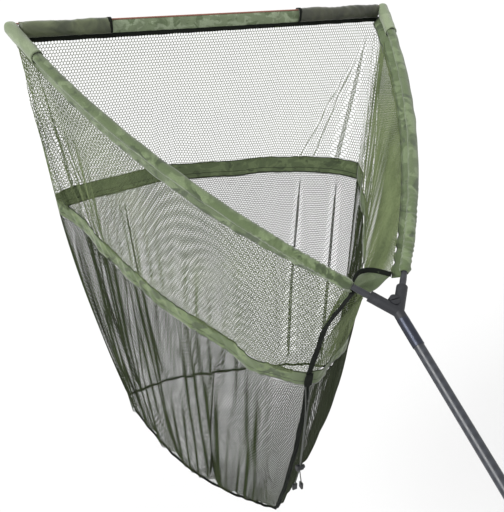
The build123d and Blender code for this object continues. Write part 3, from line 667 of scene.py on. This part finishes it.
# ---- Float sleeves ----
# Two foam floats lie along the front cord, one by each tip, in flat tubes of coated nylon. The
# nylon is shiny and creased, and the inner end of each tube is bound in black.
float_half_wide = 0.0145
float_top, float_foot = 0.012, -0.0245
strip_low, strip_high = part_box("front_strip")


def flat_tube(x, wide, top, foot, power=3.2, around=36):
    """Rounded flat sections along the front edge. Each size may change along x."""
    turn = np.linspace(0, 2 * pi, around, endpoint=False)
    c, s = np.cos(turn), np.sin(turn)
    forward = np.sign(c) * np.abs(c) ** (2 / power)
    up = np.sign(s) * np.abs(s) ** (2 / power)
    middle, tall = (top + foot) / 2, (top - foot) / 2
    points = np.zeros((len(x), around, 3))
    points[:, :, 0] = x[:, None]
    points[:, :, 1] = forward[None] * np.reshape(wide, (-1, 1))
    points[:, :, 2] = middle.reshape(-1, 1) + up[None] * tall.reshape(-1, 1)
    return points


def coated(name, dark, light, roughness):
    """Coated nylon: a tight weave under a soft shine, its colour darkened in soft noise blotches as painted
    crease shade.
    """
    material, tree, shader = finish(name, roughness, specular=0.5, sheen=0.15)
    threads_of = placed(tree, weave, {"Threads": 5200.0})
    spot = spot_on(tree)
    # painted shade: noise blotches darken the colour as crease shade; they are not tied to the real creases
    painted_shade_blotches = node(tree, "ShaderNodeTexNoise", {
        "Vector": spot, "Scale": 17.0, "Detail": 4.0, "Distortion": 1.2})
    unshaded_share = node(tree, "ShaderNodeMapRange", {
        "Value": painted_shade_blotches.outputs["Fac"], "From Min": 0.35, "From Max": 0.7})
    coloured(tree, shader, unshaded_share.outputs[0], dark, light)
    uneven(tree, shader, threads_of.outputs["Slub"], roughness - 0.1, roughness + 0.12)
    bumped(tree, shader, threads_of.outputs["Height"], 0.00008)
    return material


# the first colour of each nylon is its painted crease shade, the second its own olive
nylon = {"left": coated("left_float_nylon", (0.035, 0.044, 0.021), (0.105, 0.125, 0.06), 0.42),
         "right": coated("right_float_nylon", (0.018, 0.020, 0.012), (0.055, 0.060, 0.032), 0.42)}
tape_black = (0.004, 0.005, 0.004)
tape_grey = (0.016, 0.020, 0.014)


def tape(name, dark=tape_black, light=tape_grey, threads=3200.0):
    """Woven binding tape: a ribbed weave in near black green, darker between its ribs as painted shade, and
    uneven with slubs.
    """
    material, tree, shader = finish(name, 0.85, specular=0.1)
    threads_of = placed(tree, weave, {"Threads": threads})
    # painted shade: the colour follows the weave's height, darker between the ribs, times the real slubs
    tone = math_of(tree, "MULTIPLY", threads_of.outputs["Height"], threads_of.outputs["Slub"])
    coloured(tree, shader, tone, dark, light)
    uneven(tree, shader, threads_of.outputs["Slub"], 0.7, 0.95)
    bumped(tree, shader, threads_of.outputs["Height"], 0.0003)
    return material


binding_tape = tape("binding_tape")
inside_foam, tree, shader = finish("float_foam", 0.9)
cells = node(tree, "ShaderNodeTexVoronoi", {"Vector": spot_on(tree), "Scale": 900.0})
coloured(tree, shader, cells.outputs["Distance"], (0.42, 0.42, 0.40), (0.6, 0.6, 0.57))
bumped(tree, shader, cells.outputs["Distance"], 0.0004)
front_line = place(0.0, net_length)
for name, side in (("left", -1), ("right", 1)):
    low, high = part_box(f"{name}_float_sleeve")
    inner, outer = sorted((low.x, high.x), key=abs)
    x = np.linspace(inner, outer, 90)
    share = np.abs(x - inner) / abs(outer - inner)
    sag = 0.0012 * rumple(x, x * 0, (0.16, 1.0), 61 + side)
    mouth = 1 - 0.22 * (1 - ramp(share, 0.0, 0.03)) - 0.30 * ramp(share, 0.965, 1.0)
    points = flat_tube(x, (float_half_wide + 0.0008 * rumple(x, x * 0, (0.08, 1.0), 63 + side)) * mouth,
                       float_top + sag, np.full(len(x), float_foot), power=2.6)
    turn = np.linspace(0, 2 * pi, points.shape[1], endpoint=False)
    s, t = np.meshgrid(x, turn, indexing="ij")
    creases = np.abs(rumple(s + 0.012 * np.sin(t), t * 0.012, (0.062, 0.055), 67 + side)) ** 0.7
    shrink = 1 - 0.16 * creases * (0.35 + ramp(share, 0.15, 0.5)[:, None] * 0.65)
    middle = points.mean(axis=1, keepdims=True)
    points = middle + (points - middle) * np.stack([np.ones_like(shrink), shrink, shrink * 0.5 + 0.5], axis=2)
    piece = cloth(f"{name}_float_sleeve_cloth", points + front_line, closed=True, thick=0.0008, smoother=1)
    sew(piece, nylon[name], "olive_fabric", f"{name}_float_sleeve")

    # the bound inner end
    x = inner + side * np.linspace(-0.0005, 0.008, 6)
    size = np.full(len(x), 1.0)
    ends = flat_tube(x, (float_half_wide * 0.86 + 0.0014) * size, float_top + 0.0005 * size,
                     (float_foot + 0.0005) * size, power=2.6)
    piece = cloth(f"{name}_float_end_binding", ends + front_line, closed=True, thick=0.0008)
    sew(piece, binding_tape, "black_binding")

    # the foam float inside, with its cut ends rounded
    low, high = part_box(f"{name}_float")
    x = np.linspace(low.x, high.x, 40)
    round_off = np.sqrt(np.clip(1 - np.clip(1 - (x - low.x) / 0.004, 0, 1) ** 2, 0.04, 1))
    round_off = round_off * np.sqrt(np.clip(1 - np.clip(1 - (high.x - x) / 0.004, 0, 1) ** 2, 0.04, 1))
    centre_z = (low.z + high.z) / 2 - float(front_line[2])
    radius = 0.0098 * round_off
    rod = flat_tube(x, radius, centre_z + radius, centre_z - radius, power=2.0, around=24)
    foam_rod = cloth(f"{name}_float_foam", rod + front_line, closed=True)
    sew(foam_rod, inside_foam, "float_foam", f"{name}_float")

# ---- Front strip ----
# Between the floats the front cord runs in a narrow tube of printed cloth. The cord shows along
# its top edge where the cloth is folded round it.
strip_cloth = printed("strip_cloth", (0.25, 0.30, 0.20), (0.155, 0.195, 0.115), (0.10, 0.135, 0.07), 34.0)
x = np.linspace(strip_low.x - 0.006, strip_high.x + 0.006, 150)
dip = 0.0009 * rumple(x, x * 0, (0.12, 1.0), 71)
wide = 0.0030 + 0.0006 * rumple(x, x * 0, (0.05, 1.0), 72)
strip_top = 0.0058
points = flat_tube(x, wide, strip_top + dip * 0.3, -0.0245 + dip * 0.2, power=2.4, around=24)
turn = np.linspace(0, 2 * pi, 24, endpoint=False)
points[:, :, 1] += (0.0011 * rumple(x, x * 0, (0.07, 1.0), 73))[:, None] * np.cos(turn)[None] ** 2
sew(cloth("front_strip_cloth", points + front_line, closed=True), strip_cloth, "camo_fabric", "front_strip")

# ---- Front binding ----
# A black woven tape folded over the top edge of the front netting and stitched to the cloth above.
tape_low, tape_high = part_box("front_binding")
x = np.linspace(tape_low.x - 0.006, tape_high.x + 0.006, 220)
heights = np.linspace(tape_high.z + 0.003, tape_low.z, 8) - float(front_line[2])
h, s = np.meshgrid(heights, x, indexing="ij")
low = ramp(h, heights[0], heights[-1])
wave = 0.0012 * low * rumple(s, h, (0.06, 0.2), 81)
edge = 0.0010 * low * rumple(s, h * 0, (0.11, 1.0), 82)
grid = np.stack([s, wave, h + edge], axis=2) + front_line
sew(cloth("front_binding_tape", grid, thick=0.0022), binding_tape, "black_binding", "front_binding")

# ---- Netting ----
# Knotless netting of six-sided cells, about 8 mm wide above the belt and finer below, knitted from
# multifilament yarn. It hangs in three walls from the sleeves and the front binding, and slack
# falls from the tips in long folds.
rim_end = arm_length - 0.018
corner_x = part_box("front_binding")[1].x
belt_middle, base_level = 0.401, 1.050
belt_top = 0.378
belt_back, base_back = (-0.056, 0.237), (-0.057, 0.388)

# The belt and the base from above, each from the back seam round to a front corner, and along the
# front: x, and y forward from the apex.
belt_left = [(-0.079, 0.243), (-0.145, 0.285), (-0.205, 0.370), (-0.310, 0.517), (-0.374, 0.633),
             (-0.414, 0.735), (-0.438, 0.815), (-0.484, 0.860)]
belt_right = [(0.010, 0.245), (0.120, 0.330), (0.235, 0.480), (0.325, 0.625), (0.380, 0.740), (0.404, 0.812)]
belt_front = [(-0.484, 0.880), (-0.420, 0.908), (-0.300, 0.918), (-0.190, 0.928), (-0.060, 0.919),
              (0.076, 0.902), (0.203, 0.888), (0.300, 0.865), (0.380, 0.830), (0.405, 0.814)]
base_left = [(-0.110, 0.424), (-0.200, 0.508), (-0.256, 0.572), (-0.300, 0.650), (-0.335, 0.735),
             (-0.362, 0.812)]
base_right = [(0.030, 0.440), (0.140, 0.545), (0.240, 0.640), (0.310, 0.700), (0.338, 0.735)]
base_front = [(-0.362, 0.860), (-0.225, 0.876), (-0.140, 0.862), (0.0, 0.838), (0.170, 0.806), (0.270, 0.774),
              (0.338, 0.738)]


def outline(points):
    """A line through points as a function of the share of its length, and that length."""
    points = np.array(points)
    for _ in range(2):
        early, late = points[:-1] * 0.75 + points[1:] * 0.25, points[:-1] * 0.25 + points[1:] * 0.75
        inner = np.stack([early, late], axis=1).reshape(-1, 2)
        points = np.concatenate((points[:1], inner, points[-1:]))
    steps = np.linalg.norm(np.diff(points, axis=0), axis=1)
    shares = np.concatenate(([0.0], np.cumsum(steps))) / steps.sum()

    def place_on(u):
        return np.stack([np.interp(u, shares, points[:, 0]), np.interp(u, shares, points[:, 1])])

    return place_on, steps.sum()


def side_levels(side):
    """A side wall's outlines at the rim, the belt and the base, from the back seam to the front."""
    distance = np.linspace(sleeve_start, rim_end, 40)
    angle = arm_angle(distance)
    x, y = arm_place(side, distance)
    inward = lean_in[side] * (1 - ramp(distance, rim_end - 0.15, rim_end))
    rim = np.stack([x - side * inward * np.cos(angle), y + inward * np.sin(angle)], axis=1)
    rim = [*rim, (side * corner_x, net_length)]
    belt, base = (belt_left, base_left) if side < 0 else (belt_right, base_right)
    front_belt, front_base = (belt_front[0], base_front[0]) if side < 0 else (belt_front[-1], base_front[-1])
    return outline(rim), outline([belt_back, *belt, front_belt]), outline([base_back, *base, front_base])


def front_levels():
    """The front wall's outlines at the binding, the belt and the base, from left to right."""
    rim = [(-corner_x, net_length), (corner_x, net_length)]
    return outline(rim), outline(belt_front), outline(base_front)


levels = {-1: side_levels(-1), 0: front_levels(), 1: side_levels(1)}
outward_turn = {-1: 1.0, 0: 1.0, 1: -1.0}  # which way round a wall's outline faces out
rim_drop = {-1: 0.019, 0: 0.033, 1: 0.019}


def rim_at(wall, u):
    """The drop of the netting's top edge, just inside the skirt's foot or the front binding."""
    if wall == 0:
        return np.full_like(u, 0.033)
    return foot_of_skirt(sleeve_start + u * (rim_end - sleeve_start)) - 0.012


def wall_point(wall, u, drop):
    """A place on a wall of the bag, before its folds: the share of the way round it, and the drop."""
    rim, belt, base = (level[0](u) for level in levels[wall])
    upper = np.clip((drop - rim_drop[wall]) / (belt_middle - rim_drop[wall]), 0, 1)
    lower = np.clip((drop - belt_middle) / (base_level - belt_middle), 0, 1)
    if wall:
        upper = upper + 0.13 * np.sin(pi * upper) * np.clip(1 - u, 0, 1) ** 4
    sagged = lower + (lower**1.8 - lower) * (0.55 if wall else 0.35)
    x, y = rim + (belt - rim) * upper + (base - belt) * sagged
    return x, y


def drop_on(wall, u, drop):
    """The real drop of a place in the upper netting, whose top edge isn't level."""
    start, top = rim_at(wall, u), rim_drop[wall]
    moved = start + (drop - top) * (belt_middle - start) / (belt_middle - top)
    return np.where(drop < belt_middle, moved, drop)


def folded(wall, u, drop, folds, seed):
    """A place on a wall with its folds and its slack. A fold is (share round at the top, share at
    the foot, drop at the top, drop at the foot, width, how far it laps)."""
    push = np.zeros_like(u)
    moved = u.copy()
    for top_u, foot_u, top, foot, width, lap in folds:
        share = np.clip((drop - top) / (foot - top), 0, 1)
        middle = top_u + (foot_u - top_u) * share
        fading = ramp(drop, top, top + 0.10) * (1 - ramp(drop, foot - 0.02, foot + 0.05))
        across_fold = (u - middle) / (width * (0.35 + 0.65 * share))
        inside = np.abs(across_fold) < 0.5
        bend = np.where(inside, np.sin(2 * pi * across_fold), 0.0) * fading
        moved = moved - lap * width * (0.35 + 0.65 * share) * bend / (2 * pi)
        push = push + 0.006 * bend
    x, y = wall_point(wall, np.clip(moved, 0, 1), drop)
    ahead_x, ahead_y = wall_point(wall, np.clip(moved + 0.004, 0, 1), drop)
    behind_x, behind_y = wall_point(wall, np.clip(moved - 0.004, 0, 1), drop)
    dx, dy = ahead_x - behind_x, ahead_y - behind_y
    length = np.hypot(dx, dy) + 1e-9
    out_x, out_y = -dy / length * outward_turn[wall], dx / length * outward_turn[wall]
    loose = ramp(drop, 0.08, 0.30) * (1 - 0.75 * np.exp(-((drop - belt_middle) / 0.03) ** 2))
    loose = loose * (0.5 + 0.5 * ramp(drop, belt_middle, 0.8)) * ramp(u, 0, 0.06) * (1 - ramp(u, 0.94, 1.0))
    wide_slack = 0.010 * rumple(u, drop, (0.22, 1.6), seed)
    slack = loose * (wide_slack + 0.004 * rumple(u, drop, (0.07, 0.7), seed + 1))
    x, y = x + out_x * (push + slack), y + out_y * (push + slack)
    return place(x, y, drop_on(wall, u, drop))


def lattice_links(low_corner):
    """The links of a six-sided lattice, each as two point numbers. Low corners join to the next row."""
    index = np.arange(low_corner.size).reshape(low_corner.shape)
    side_by_side = np.stack([index[:, :-1], index[:, 1:]], axis=-1).reshape(-1, 2)
    down = np.stack([index[:-1], index[1:]], axis=-1)
    return np.concatenate([side_by_side, down[low_corner[:-1] == 1]])


def laid_strands(name, points, edges, up, thread):
    """A mesh of threads along the edges, each a three-sided prism turned to face up."""
    first, last = points[edges[:, 0]], points[edges[:, 1]]
    run = last - first
    length = np.linalg.norm(run, axis=1, keepdims=True)
    good = length[:, 0] > 1e-5
    first, last, run, up = first[good], last[good], run[good] / length[good], up[good]
    beside = np.cross(run, up)
    beside /= np.linalg.norm(beside, axis=1, keepdims=True) + 1e-12
    up = np.cross(beside, run)
    turns = (pi / 2, pi / 2 + 2 * pi / 3, pi / 2 + 4 * pi / 3)
    ring = np.stack([(beside * cos(turn) + up * sin(turn)) * thread / 2 for turn in turns], axis=1)
    verts = np.stack([first[:, None] + ring, last[:, None] + ring], axis=1).reshape(-1, 3)
    start = np.arange(len(first))[:, None, None] * 6
    quads = (start + np.array([[0, 1, 4, 3], [1, 2, 5, 4], [2, 0, 3, 5]])[None]).reshape(-1)
    mesh = bpy.data.meshes.new(name)
    mesh.vertices.add(len(verts))
    mesh.vertices.foreach_set("co", verts.astype(np.float32).ravel())
    mesh.loops.add(len(quads))
    mesh.loops.foreach_set("vertex_index", quads.astype(np.int32))
    mesh.polygons.add(len(quads) // 4)
    mesh.polygons.foreach_set("loop_start", np.arange(0, len(quads), 4, dtype=np.int32))
    mesh.update(calc_edges=True)
    mesh.polygons.foreach_set("use_smooth", np.ones(len(quads) // 4, bool))
    return new_object(name, mesh)


def netting(name, surface, top, foot, widths, cell, thread):
    """Netting laid over a surface as real strands. Surface gives points from the share round and the
    drop. Widths are the cloth's cut widths at its top and foot. Threads are three-sided prisms."""
    side_length = cell / 3**0.5
    row_step = 1.5 * side_length
    rows = int(ceil((foot - top) / row_step))
    row_step = (foot - top) / rows
    columns = 2 * int(ceil(max(widths) / cell)) + 2
    r, k = np.meshgrid(np.arange(rows + 1), np.arange(columns + 1), indexing="ij")
    low = (r + k) % 2
    drop = np.minimum(top + (r + low / 3.0) * row_step, foot)
    width = widths[0] + (widths[1] - widths[0]) * (drop - top) / (foot - top)
    flat = (k - columns / 2) * cell / 2
    u = 0.5 + flat / width
    inside = (u > 0.0) & (u < 1.0)
    edges = lattice_links(low)
    kept = inside.ravel()
    edges = edges[kept[edges].any(axis=1)]
    u, drop = np.clip(u.ravel(), 0, 1), drop.ravel()
    points = surface(u, drop)
    nearby = 0.0015
    step_u = surface(np.clip(u + nearby, 0, 1), drop) - surface(np.clip(u - nearby, 0, 1), drop)
    step_d = surface(u, drop + nearby) - surface(u, drop - nearby)
    facing = np.cross(step_u, step_d)
    facing /= np.linalg.norm(facing, axis=1, keepdims=True) + 1e-12
    return laid_strands(name, points, edges, facing[edges[:, 0]], thread)


def net_yarn(name, dark, light, roughness=0.75):
    """Multifilament netting yarn: two shades of green in soft clouds, with a twist in its surface."""
    material, tree, shader = finish(name, roughness, specular=0.15)
    spot = spot_on(tree)
    clouds = noise(tree, spot, 9.0, 3.0)
    flecks = noise(tree, spot, 300.0, 1.0)
    tone = math_of(tree, "MULTIPLY", math_of(tree, "ADD", clouds, flecks), 0.5)
    spread = node(tree, "ShaderNodeMapRange", {"Value": tone, "From Min": 0.35, "From Max": 0.65})
    coloured(tree, shader, spread.outputs[0], dark, light)
    twist = node(tree, "ShaderNodeTexWave", {"Vector": spot, "Scale": 260.0, "Distortion": 2.0},
                 bands_direction="DIAGONAL")
    bumped(tree, shader, twist.outputs["Fac"], 0.0002)
    return material


wall_yarn = net_yarn("wall_yarn", (0.062, 0.082, 0.038), (0.150, 0.185, 0.088))
low_yarn = net_yarn("low_yarn", (0.013, 0.018, 0.007), (0.034, 0.045, 0.018))
upper_folds = {
    -1: [(0.985, 0.93, 0.06, 0.40, 0.055, 1.7), (0.95, 0.84, 0.06, 0.40, 0.03, 1.4),
        (0.92, 0.76, 0.08, 0.40, 0.02, 1.2)],
    0: [(0.015, 0.06, 0.05, 0.40, 0.045, 1.5), (0.975, 0.92, 0.05, 0.40, 0.06, 1.9),
        (0.965, 0.83, 0.07, 0.40, 0.018, 1.5), (0.95, 0.78, 0.10, 0.40, 0.014, 1.2)],
    1: [(0.985, 0.93, 0.06, 0.40, 0.06, 1.9), (0.95, 0.84, 0.06, 0.40, 0.04, 1.6),
        (0.88, 0.60, 0.10, 0.40, 0.03, 1.2)],
}
lower_folds = {
    -1: [(0.94, 0.95, 0.42, 1.02, 0.10, 1.5), (0.80, 0.84, 0.42, 1.02, 0.09, 1.5),
        (0.66, 0.72, 0.42, 1.0, 0.05, 1.2), (0.30, 0.36, 0.42, 1.0, 0.08, 1.2)],
    0: [(0.06, 0.05, 0.42, 1.02, 0.09, 1.6), (0.20, 0.17, 0.42, 1.0, 0.08, 1.4),
        (0.80, 0.76, 0.42, 1.0, 0.07, 1.6), (0.93, 0.92, 0.42, 1.02, 0.09, 1.6)],
    1: [(0.94, 0.94, 0.42, 1.02, 0.09, 1.6), (0.70, 0.70, 0.42, 1.0, 0.09, 1.4),
        (0.30, 0.26, 0.42, 1.0, 0.09, 1.4)],
}
wall_names = {-1: "left", 0: "front", 1: "right"}
wall_seeds = {-1: 101, 0: 203, 1: 305}
for wall, name in wall_names.items():
    lengths = [level[1] for level in levels[wall]]
    for part, top, foot, cuts, folds in (
        ("upper", rim_drop[wall], belt_top + 0.004, lengths[:2], upper_folds[wall]),
        ("lower", belt_foot - 0.004, base_level, lengths[1:], lower_folds[wall]),
    ):
        def surface(u, drop, wall=wall, folds=folds):
            return folded(wall, u, drop, folds, wall_seeds[wall])

        cell, thread, fullness = (0.0078, 0.00160, 1.06) if part == "upper" else (0.0066, 0.00182, 1.30)
        cuts = [cut * fullness for cut in cuts]
        piece = netting(f"{name}_{part}_netting", surface, top, foot, cuts, cell, thread)
        sew(piece, wall_yarn if part == "upper" else low_yarn, "side_mesh", f"{name}_{part}_mesh")

# ---- Belt ----
# A band of printed cloth, 46 mm deep, sewn between the upper and the lower netting. It is a channel
# for the drawcord: black stitching edges it, and a double row runs near its foot.
belt_cloth = printed("belt_cloth", (0.125, 0.165, 0.075), (0.085, 0.115, 0.052), (0.05, 0.068, 0.032), 30.0,
                     threads=1900.0, hems=((0.0, 0.0034, 0.9), (0.046, 0.0034, 0.9), (0.0325, 0.0013, 0.85)))
for wall, name in wall_names.items():
    length = levels[wall][1][1]
    u = np.linspace(0, 1, int(length / 0.006))
    drops = np.linspace(belt_top, belt_foot, 10)
    d, s = np.meshgrid(drops, u, indexing="ij")
    x, y = wall_point(wall, s, d)
    ahead_x, ahead_y = wall_point(wall, np.clip(s + 0.004, 0, 1), d)
    behind_x, behind_y = wall_point(wall, np.clip(s - 0.004, 0, 1), d)
    dx, dy = ahead_x - behind_x, ahead_y - behind_y
    run = np.hypot(dx, dy)
    seed = wall_seeds[wall]
    ends = ramp(s, 0, 0.04) * (1 - ramp(s, 0.96, 1.0))
    ruck = 0.0045 * rumple(s * length, d, (0.16, 0.5), seed + 5)
    ruck = ruck + 0.0016 * rumple(s * length + 0.3 * d, d, (0.024, 0.09), seed + 6)
    if wall == 0:
        ruck = ruck * 0.5
    ruck = ruck * ends * outward_turn[wall]
    lift = 0.0035 * rumple(s * length, d * 0, (0.21, 1.0), seed + 7) * ends
    grid = place(x - dy / run * ruck, y + dx / run * ruck, d + lift)
    piece = cloth(f"{name}_belt_cloth", grid, thick=0.0016)
    sew(piece, belt_cloth, "belt_fabric", f"{name}_belt")

# ---- Back panel ----
# A wedge of printed cloth closes the bag over the Y block, where netting would chafe. Its top edge
# is bound in black from arm to arm.
panel_cloth = printed("panel_cloth", (0.135, 0.180, 0.085), (0.095, 0.130, 0.060), (0.055, 0.075, 0.035),
                      22.0)
binding_height = 0.016
panel_foot = 0.085


def back_wedge(u, drop):
    """A place on the wedge between the arms' roots, which narrows to the seam at the belt."""
    seam_x, seam_y = wall_point(-1, np.zeros_like(drop), drop)
    other_x, other_y = wall_point(1, np.zeros_like(drop), drop)
    x = seam_x + (other_x - seam_x) * u
    y = seam_y + (other_y - seam_y) * u + 0.030 * np.sin(pi * u**0.8) * (1 - ramp(drop, 0.0, belt_top))
    return x, y


u = np.linspace(0, 1, 26)
drops = np.linspace(binding_height - 0.002, panel_foot, 14)
d, s = np.meshgrid(drops, u, indexing="ij")
x, y = back_wedge(s, d)
y = y + 0.0015 * rumple(s * 0.1, d, (0.05, 0.08), 401)
piece = cloth("back_panel_cloth", place(x, y, d), thick=0.0012)
sew(piece, panel_cloth, "camo_fabric", "back_panel")
panel_widths = []
for height in (binding_height - 0.002, panel_foot):
    line = np.stack(back_wedge(u, np.full_like(u, height)))
    panel_widths.append(float(np.linalg.norm(np.diff(line, axis=1), axis=0).sum()))


def wedge_surface(u, drop):
    x, y = back_wedge(u, drop)
    return place(x, y, drop)


piece = netting("back_wedge_netting", wedge_surface, panel_foot - 0.003, belt_top, (panel_widths[1], 0.008),
                0.0070, 0.00155)
sew(piece, wall_yarn, "side_mesh")

u = np.linspace(0, 1, 24)
drops = np.linspace(binding_height - 0.007, binding_height + 0.003, 5)
d, s = np.meshgrid(drops, u, indexing="ij")
x, y = back_wedge(s, np.full_like(d, binding_height))
d = d + 0.0006 * rumple(s, d * 0, (0.2, 1.0), 411)
piece = cloth("back_binding_tape", place(x, y - 0.0004, d), thick=0.0032)
sew(piece, binding_tape, "black_binding", "back_binding")

# ---- Back seam ----
# A 14 mm black tape covers the seam between the two side walls, from the left arm's root down to
# the base. The cord comes out of the belt through a padded patch on it.
def back_seam(drop):
    """Where the seam is at a drop, a little behind the netting."""
    x, y = wall_point(-1, np.zeros_like(drop), np.maximum(drop, rim_drop[-1]))
    return x, y


def seam_tape(name, top, foot, wide, stand_off, seed, *nodes):
    """A strap down the outside of the back seam, with a little twist and wave."""
    drops = np.arange(top, foot, 0.007)
    side_places = np.linspace(-0.5, 0.5, 7)
    d, s = np.meshgrid(drops, side_places, indexing="ij")
    x, y = back_seam(d)
    wave = 0.0016 * rumple(d, s, (0.12, 2.0), seed)
    curl = 0.0022 * s * rumple(d, s * 0, (0.16, 1.0), seed + 1)
    aside = s * wide + 0.0015 * rumple(d, s * 0, (0.2, 1.0), seed + 2)
    grid = place(x + aside, y - stand_off - np.abs(wave) - curl, d)
    return sew(cloth(name, grid, thick=0.0016), binding_tape, "black_binding", *nodes)


seam_tape("upper_seam_tape_cloth", binding_height, belt_top + 0.004, 0.014, 0.0016, 421, "upper_seam_tape")
seam_tape("lower_seam_tape_cloth", belt_foot - 0.004, base_level + 0.002, 0.014, 0.0016, 431,
          "lower_seam_tape")

patch_wide, patch_thick = 0.022, 0.0065
turn = np.linspace(0, 2 * pi, 40, endpoint=False)
layers = np.linspace(-1, 1, 13)
rings = []
for layer in layers:
    keep = (1 - abs(layer) ** 3.2) ** (1 / 3.2) if abs(layer) < 1 else 0.02
    drop = (belt_top + belt_foot) / 2 + layer * (belt_foot - belt_top) / 2
    x, y = (float(value) for value in back_seam(np.array(drop)))
    c, s = np.cos(turn), np.sin(turn)
    ring_x = x + np.sign(c) * np.abs(c) ** 0.6 * patch_wide / 2 * max(keep, 0.86)
    ring_y = y - 0.0003 - patch_thick / 2 + np.sign(s) * np.abs(s) ** 0.75 * patch_thick / 2 * keep
    rings.append(place(ring_x, ring_y, np.full(len(turn), drop)))
piece = cloth("exit_patch_cloth", np.array(rings), closed=True, smoother=1)
sew(piece, tape("patch_tape", threads=2200.0), "black_binding", "exit_patch")

# ---- Base ----
# The base is a separate panel of finer, darker netting, so that a fish lies on it without harm. It
# sags below the walls, and a narrow black tape covers the seam all round.
base_yarn = net_yarn("base_yarn", (0.006, 0.008, 0.004), (0.016, 0.020, 0.009))
base_cell, base_thread = 0.0050, 0.00142
outer = []
for wall, flip in ((-1, False), (0, False), (1, True)):
    u = np.linspace(0, 1, 60)
    points = levels[wall][2][0](u[::-1] if flip else u).T
    outer += list(points if not outer else points[1:])
outer = np.array(outer[:-1])
base_centre = outer.mean(axis=0) + (0.02, 0.03)
sag_depth = 0.044


def base_height(share, around):
    """How far the base hangs below its seam, and its soft folds."""
    deep = sag_depth * (1 - share**2.4)
    ripple = 0.006 * np.sin(share * 9 + 1.2 * np.sin(around * 2)) * (1 - share) * 2
    return deep + ripple * ramp(share, 0.1, 0.4) * (1 - ramp(share, 0.8, 1.0))


def base_net(name, cell_size, yarn):
    """Netting over the base: a flat lattice cut to the outline, then hung."""
    low, high = outer.min(axis=0) - cell_size, outer.max(axis=0) + cell_size
    side_length = cell_size / 3**0.5
    rows = int((high[1] - low[1]) / (1.5 * side_length))
    columns = int((high[0] - low[0]) / (cell_size / 2))
    r, k = np.meshgrid(np.arange(rows + 1), np.arange(columns + 1), indexing="ij")
    low_corner = (r + k) % 2
    x = low[0] + k * cell_size / 2
    y = low[1] + (r + low_corner / 3) * 1.5 * side_length
    angle_of_outline = np.arctan2(outer[:, 1] - base_centre[1], outer[:, 0] - base_centre[0])
    order = np.argsort(angle_of_outline)
    reach_of_outline = np.hypot(*(outer - base_centre).T)[order]
    angles = angle_of_outline[order]
    angles = np.concatenate((angles - 2 * pi, angles, angles + 2 * pi))
    reach_of_outline = np.tile(reach_of_outline, 3)
    around = np.arctan2(y - base_centre[1], x - base_centre[0])
    reach = np.hypot(x - base_centre[0], y - base_centre[1])
    limit = np.interp(around, angles, reach_of_outline)
    share = reach / limit
    kept = (share < 1).ravel()
    pull = np.minimum(share, 1) / np.maximum(share, 1e-9)
    x, y = base_centre[0] + (x - base_centre[0]) * pull, base_centre[1] + (y - base_centre[1]) * pull
    share = np.minimum(share, 1)
    drop = base_level + base_height(share, around)
    points = place(x.ravel(), y.ravel(), drop.ravel())
    edges = lattice_links(low_corner)
    edges = edges[kept[edges].any(axis=1)]
    return laid_strands(name, points, edges, np.broadcast_to(-plumb, (len(edges), 3)), yarn)


piece = base_net("base_netting", base_cell, base_thread)
sew(piece, base_yarn, "base_mesh", "base_mesh")
ring_x, ring_y = outer.T

steps = np.linalg.norm(np.diff(np.concatenate((outer, outer[:1])), axis=0), axis=1)
lengths_round = np.concatenate(([0.0], np.cumsum(steps)))
s = np.arange(0, lengths_round[-1], 0.006)
closed_outer = np.concatenate((outer, outer[:1]))
x = np.interp(s, lengths_round, closed_outer[:, 0])
y = np.interp(s, lengths_round, closed_outer[:, 1])
jog = 0.006 * rumple(s, s * 0, (0.17, 1.0), 501) + 0.003 * rumple(s, s * 0, (0.05, 1.0), 502)
turn = np.linspace(0, 2 * pi, 10, endpoint=False)
centre = place(x, y, base_level + 0.001 + np.abs(jog))
ring = np.stack([0.0022 * np.cos(turn), 0.0022 * np.cos(turn), 0.0045 * np.sin(turn)], axis=1)
points = centre[:, None] + ring[None]
points = np.concatenate((points, points[:1]))
sew(cloth("base_seam_tape", points, closed=True), binding_tape, "black_binding")
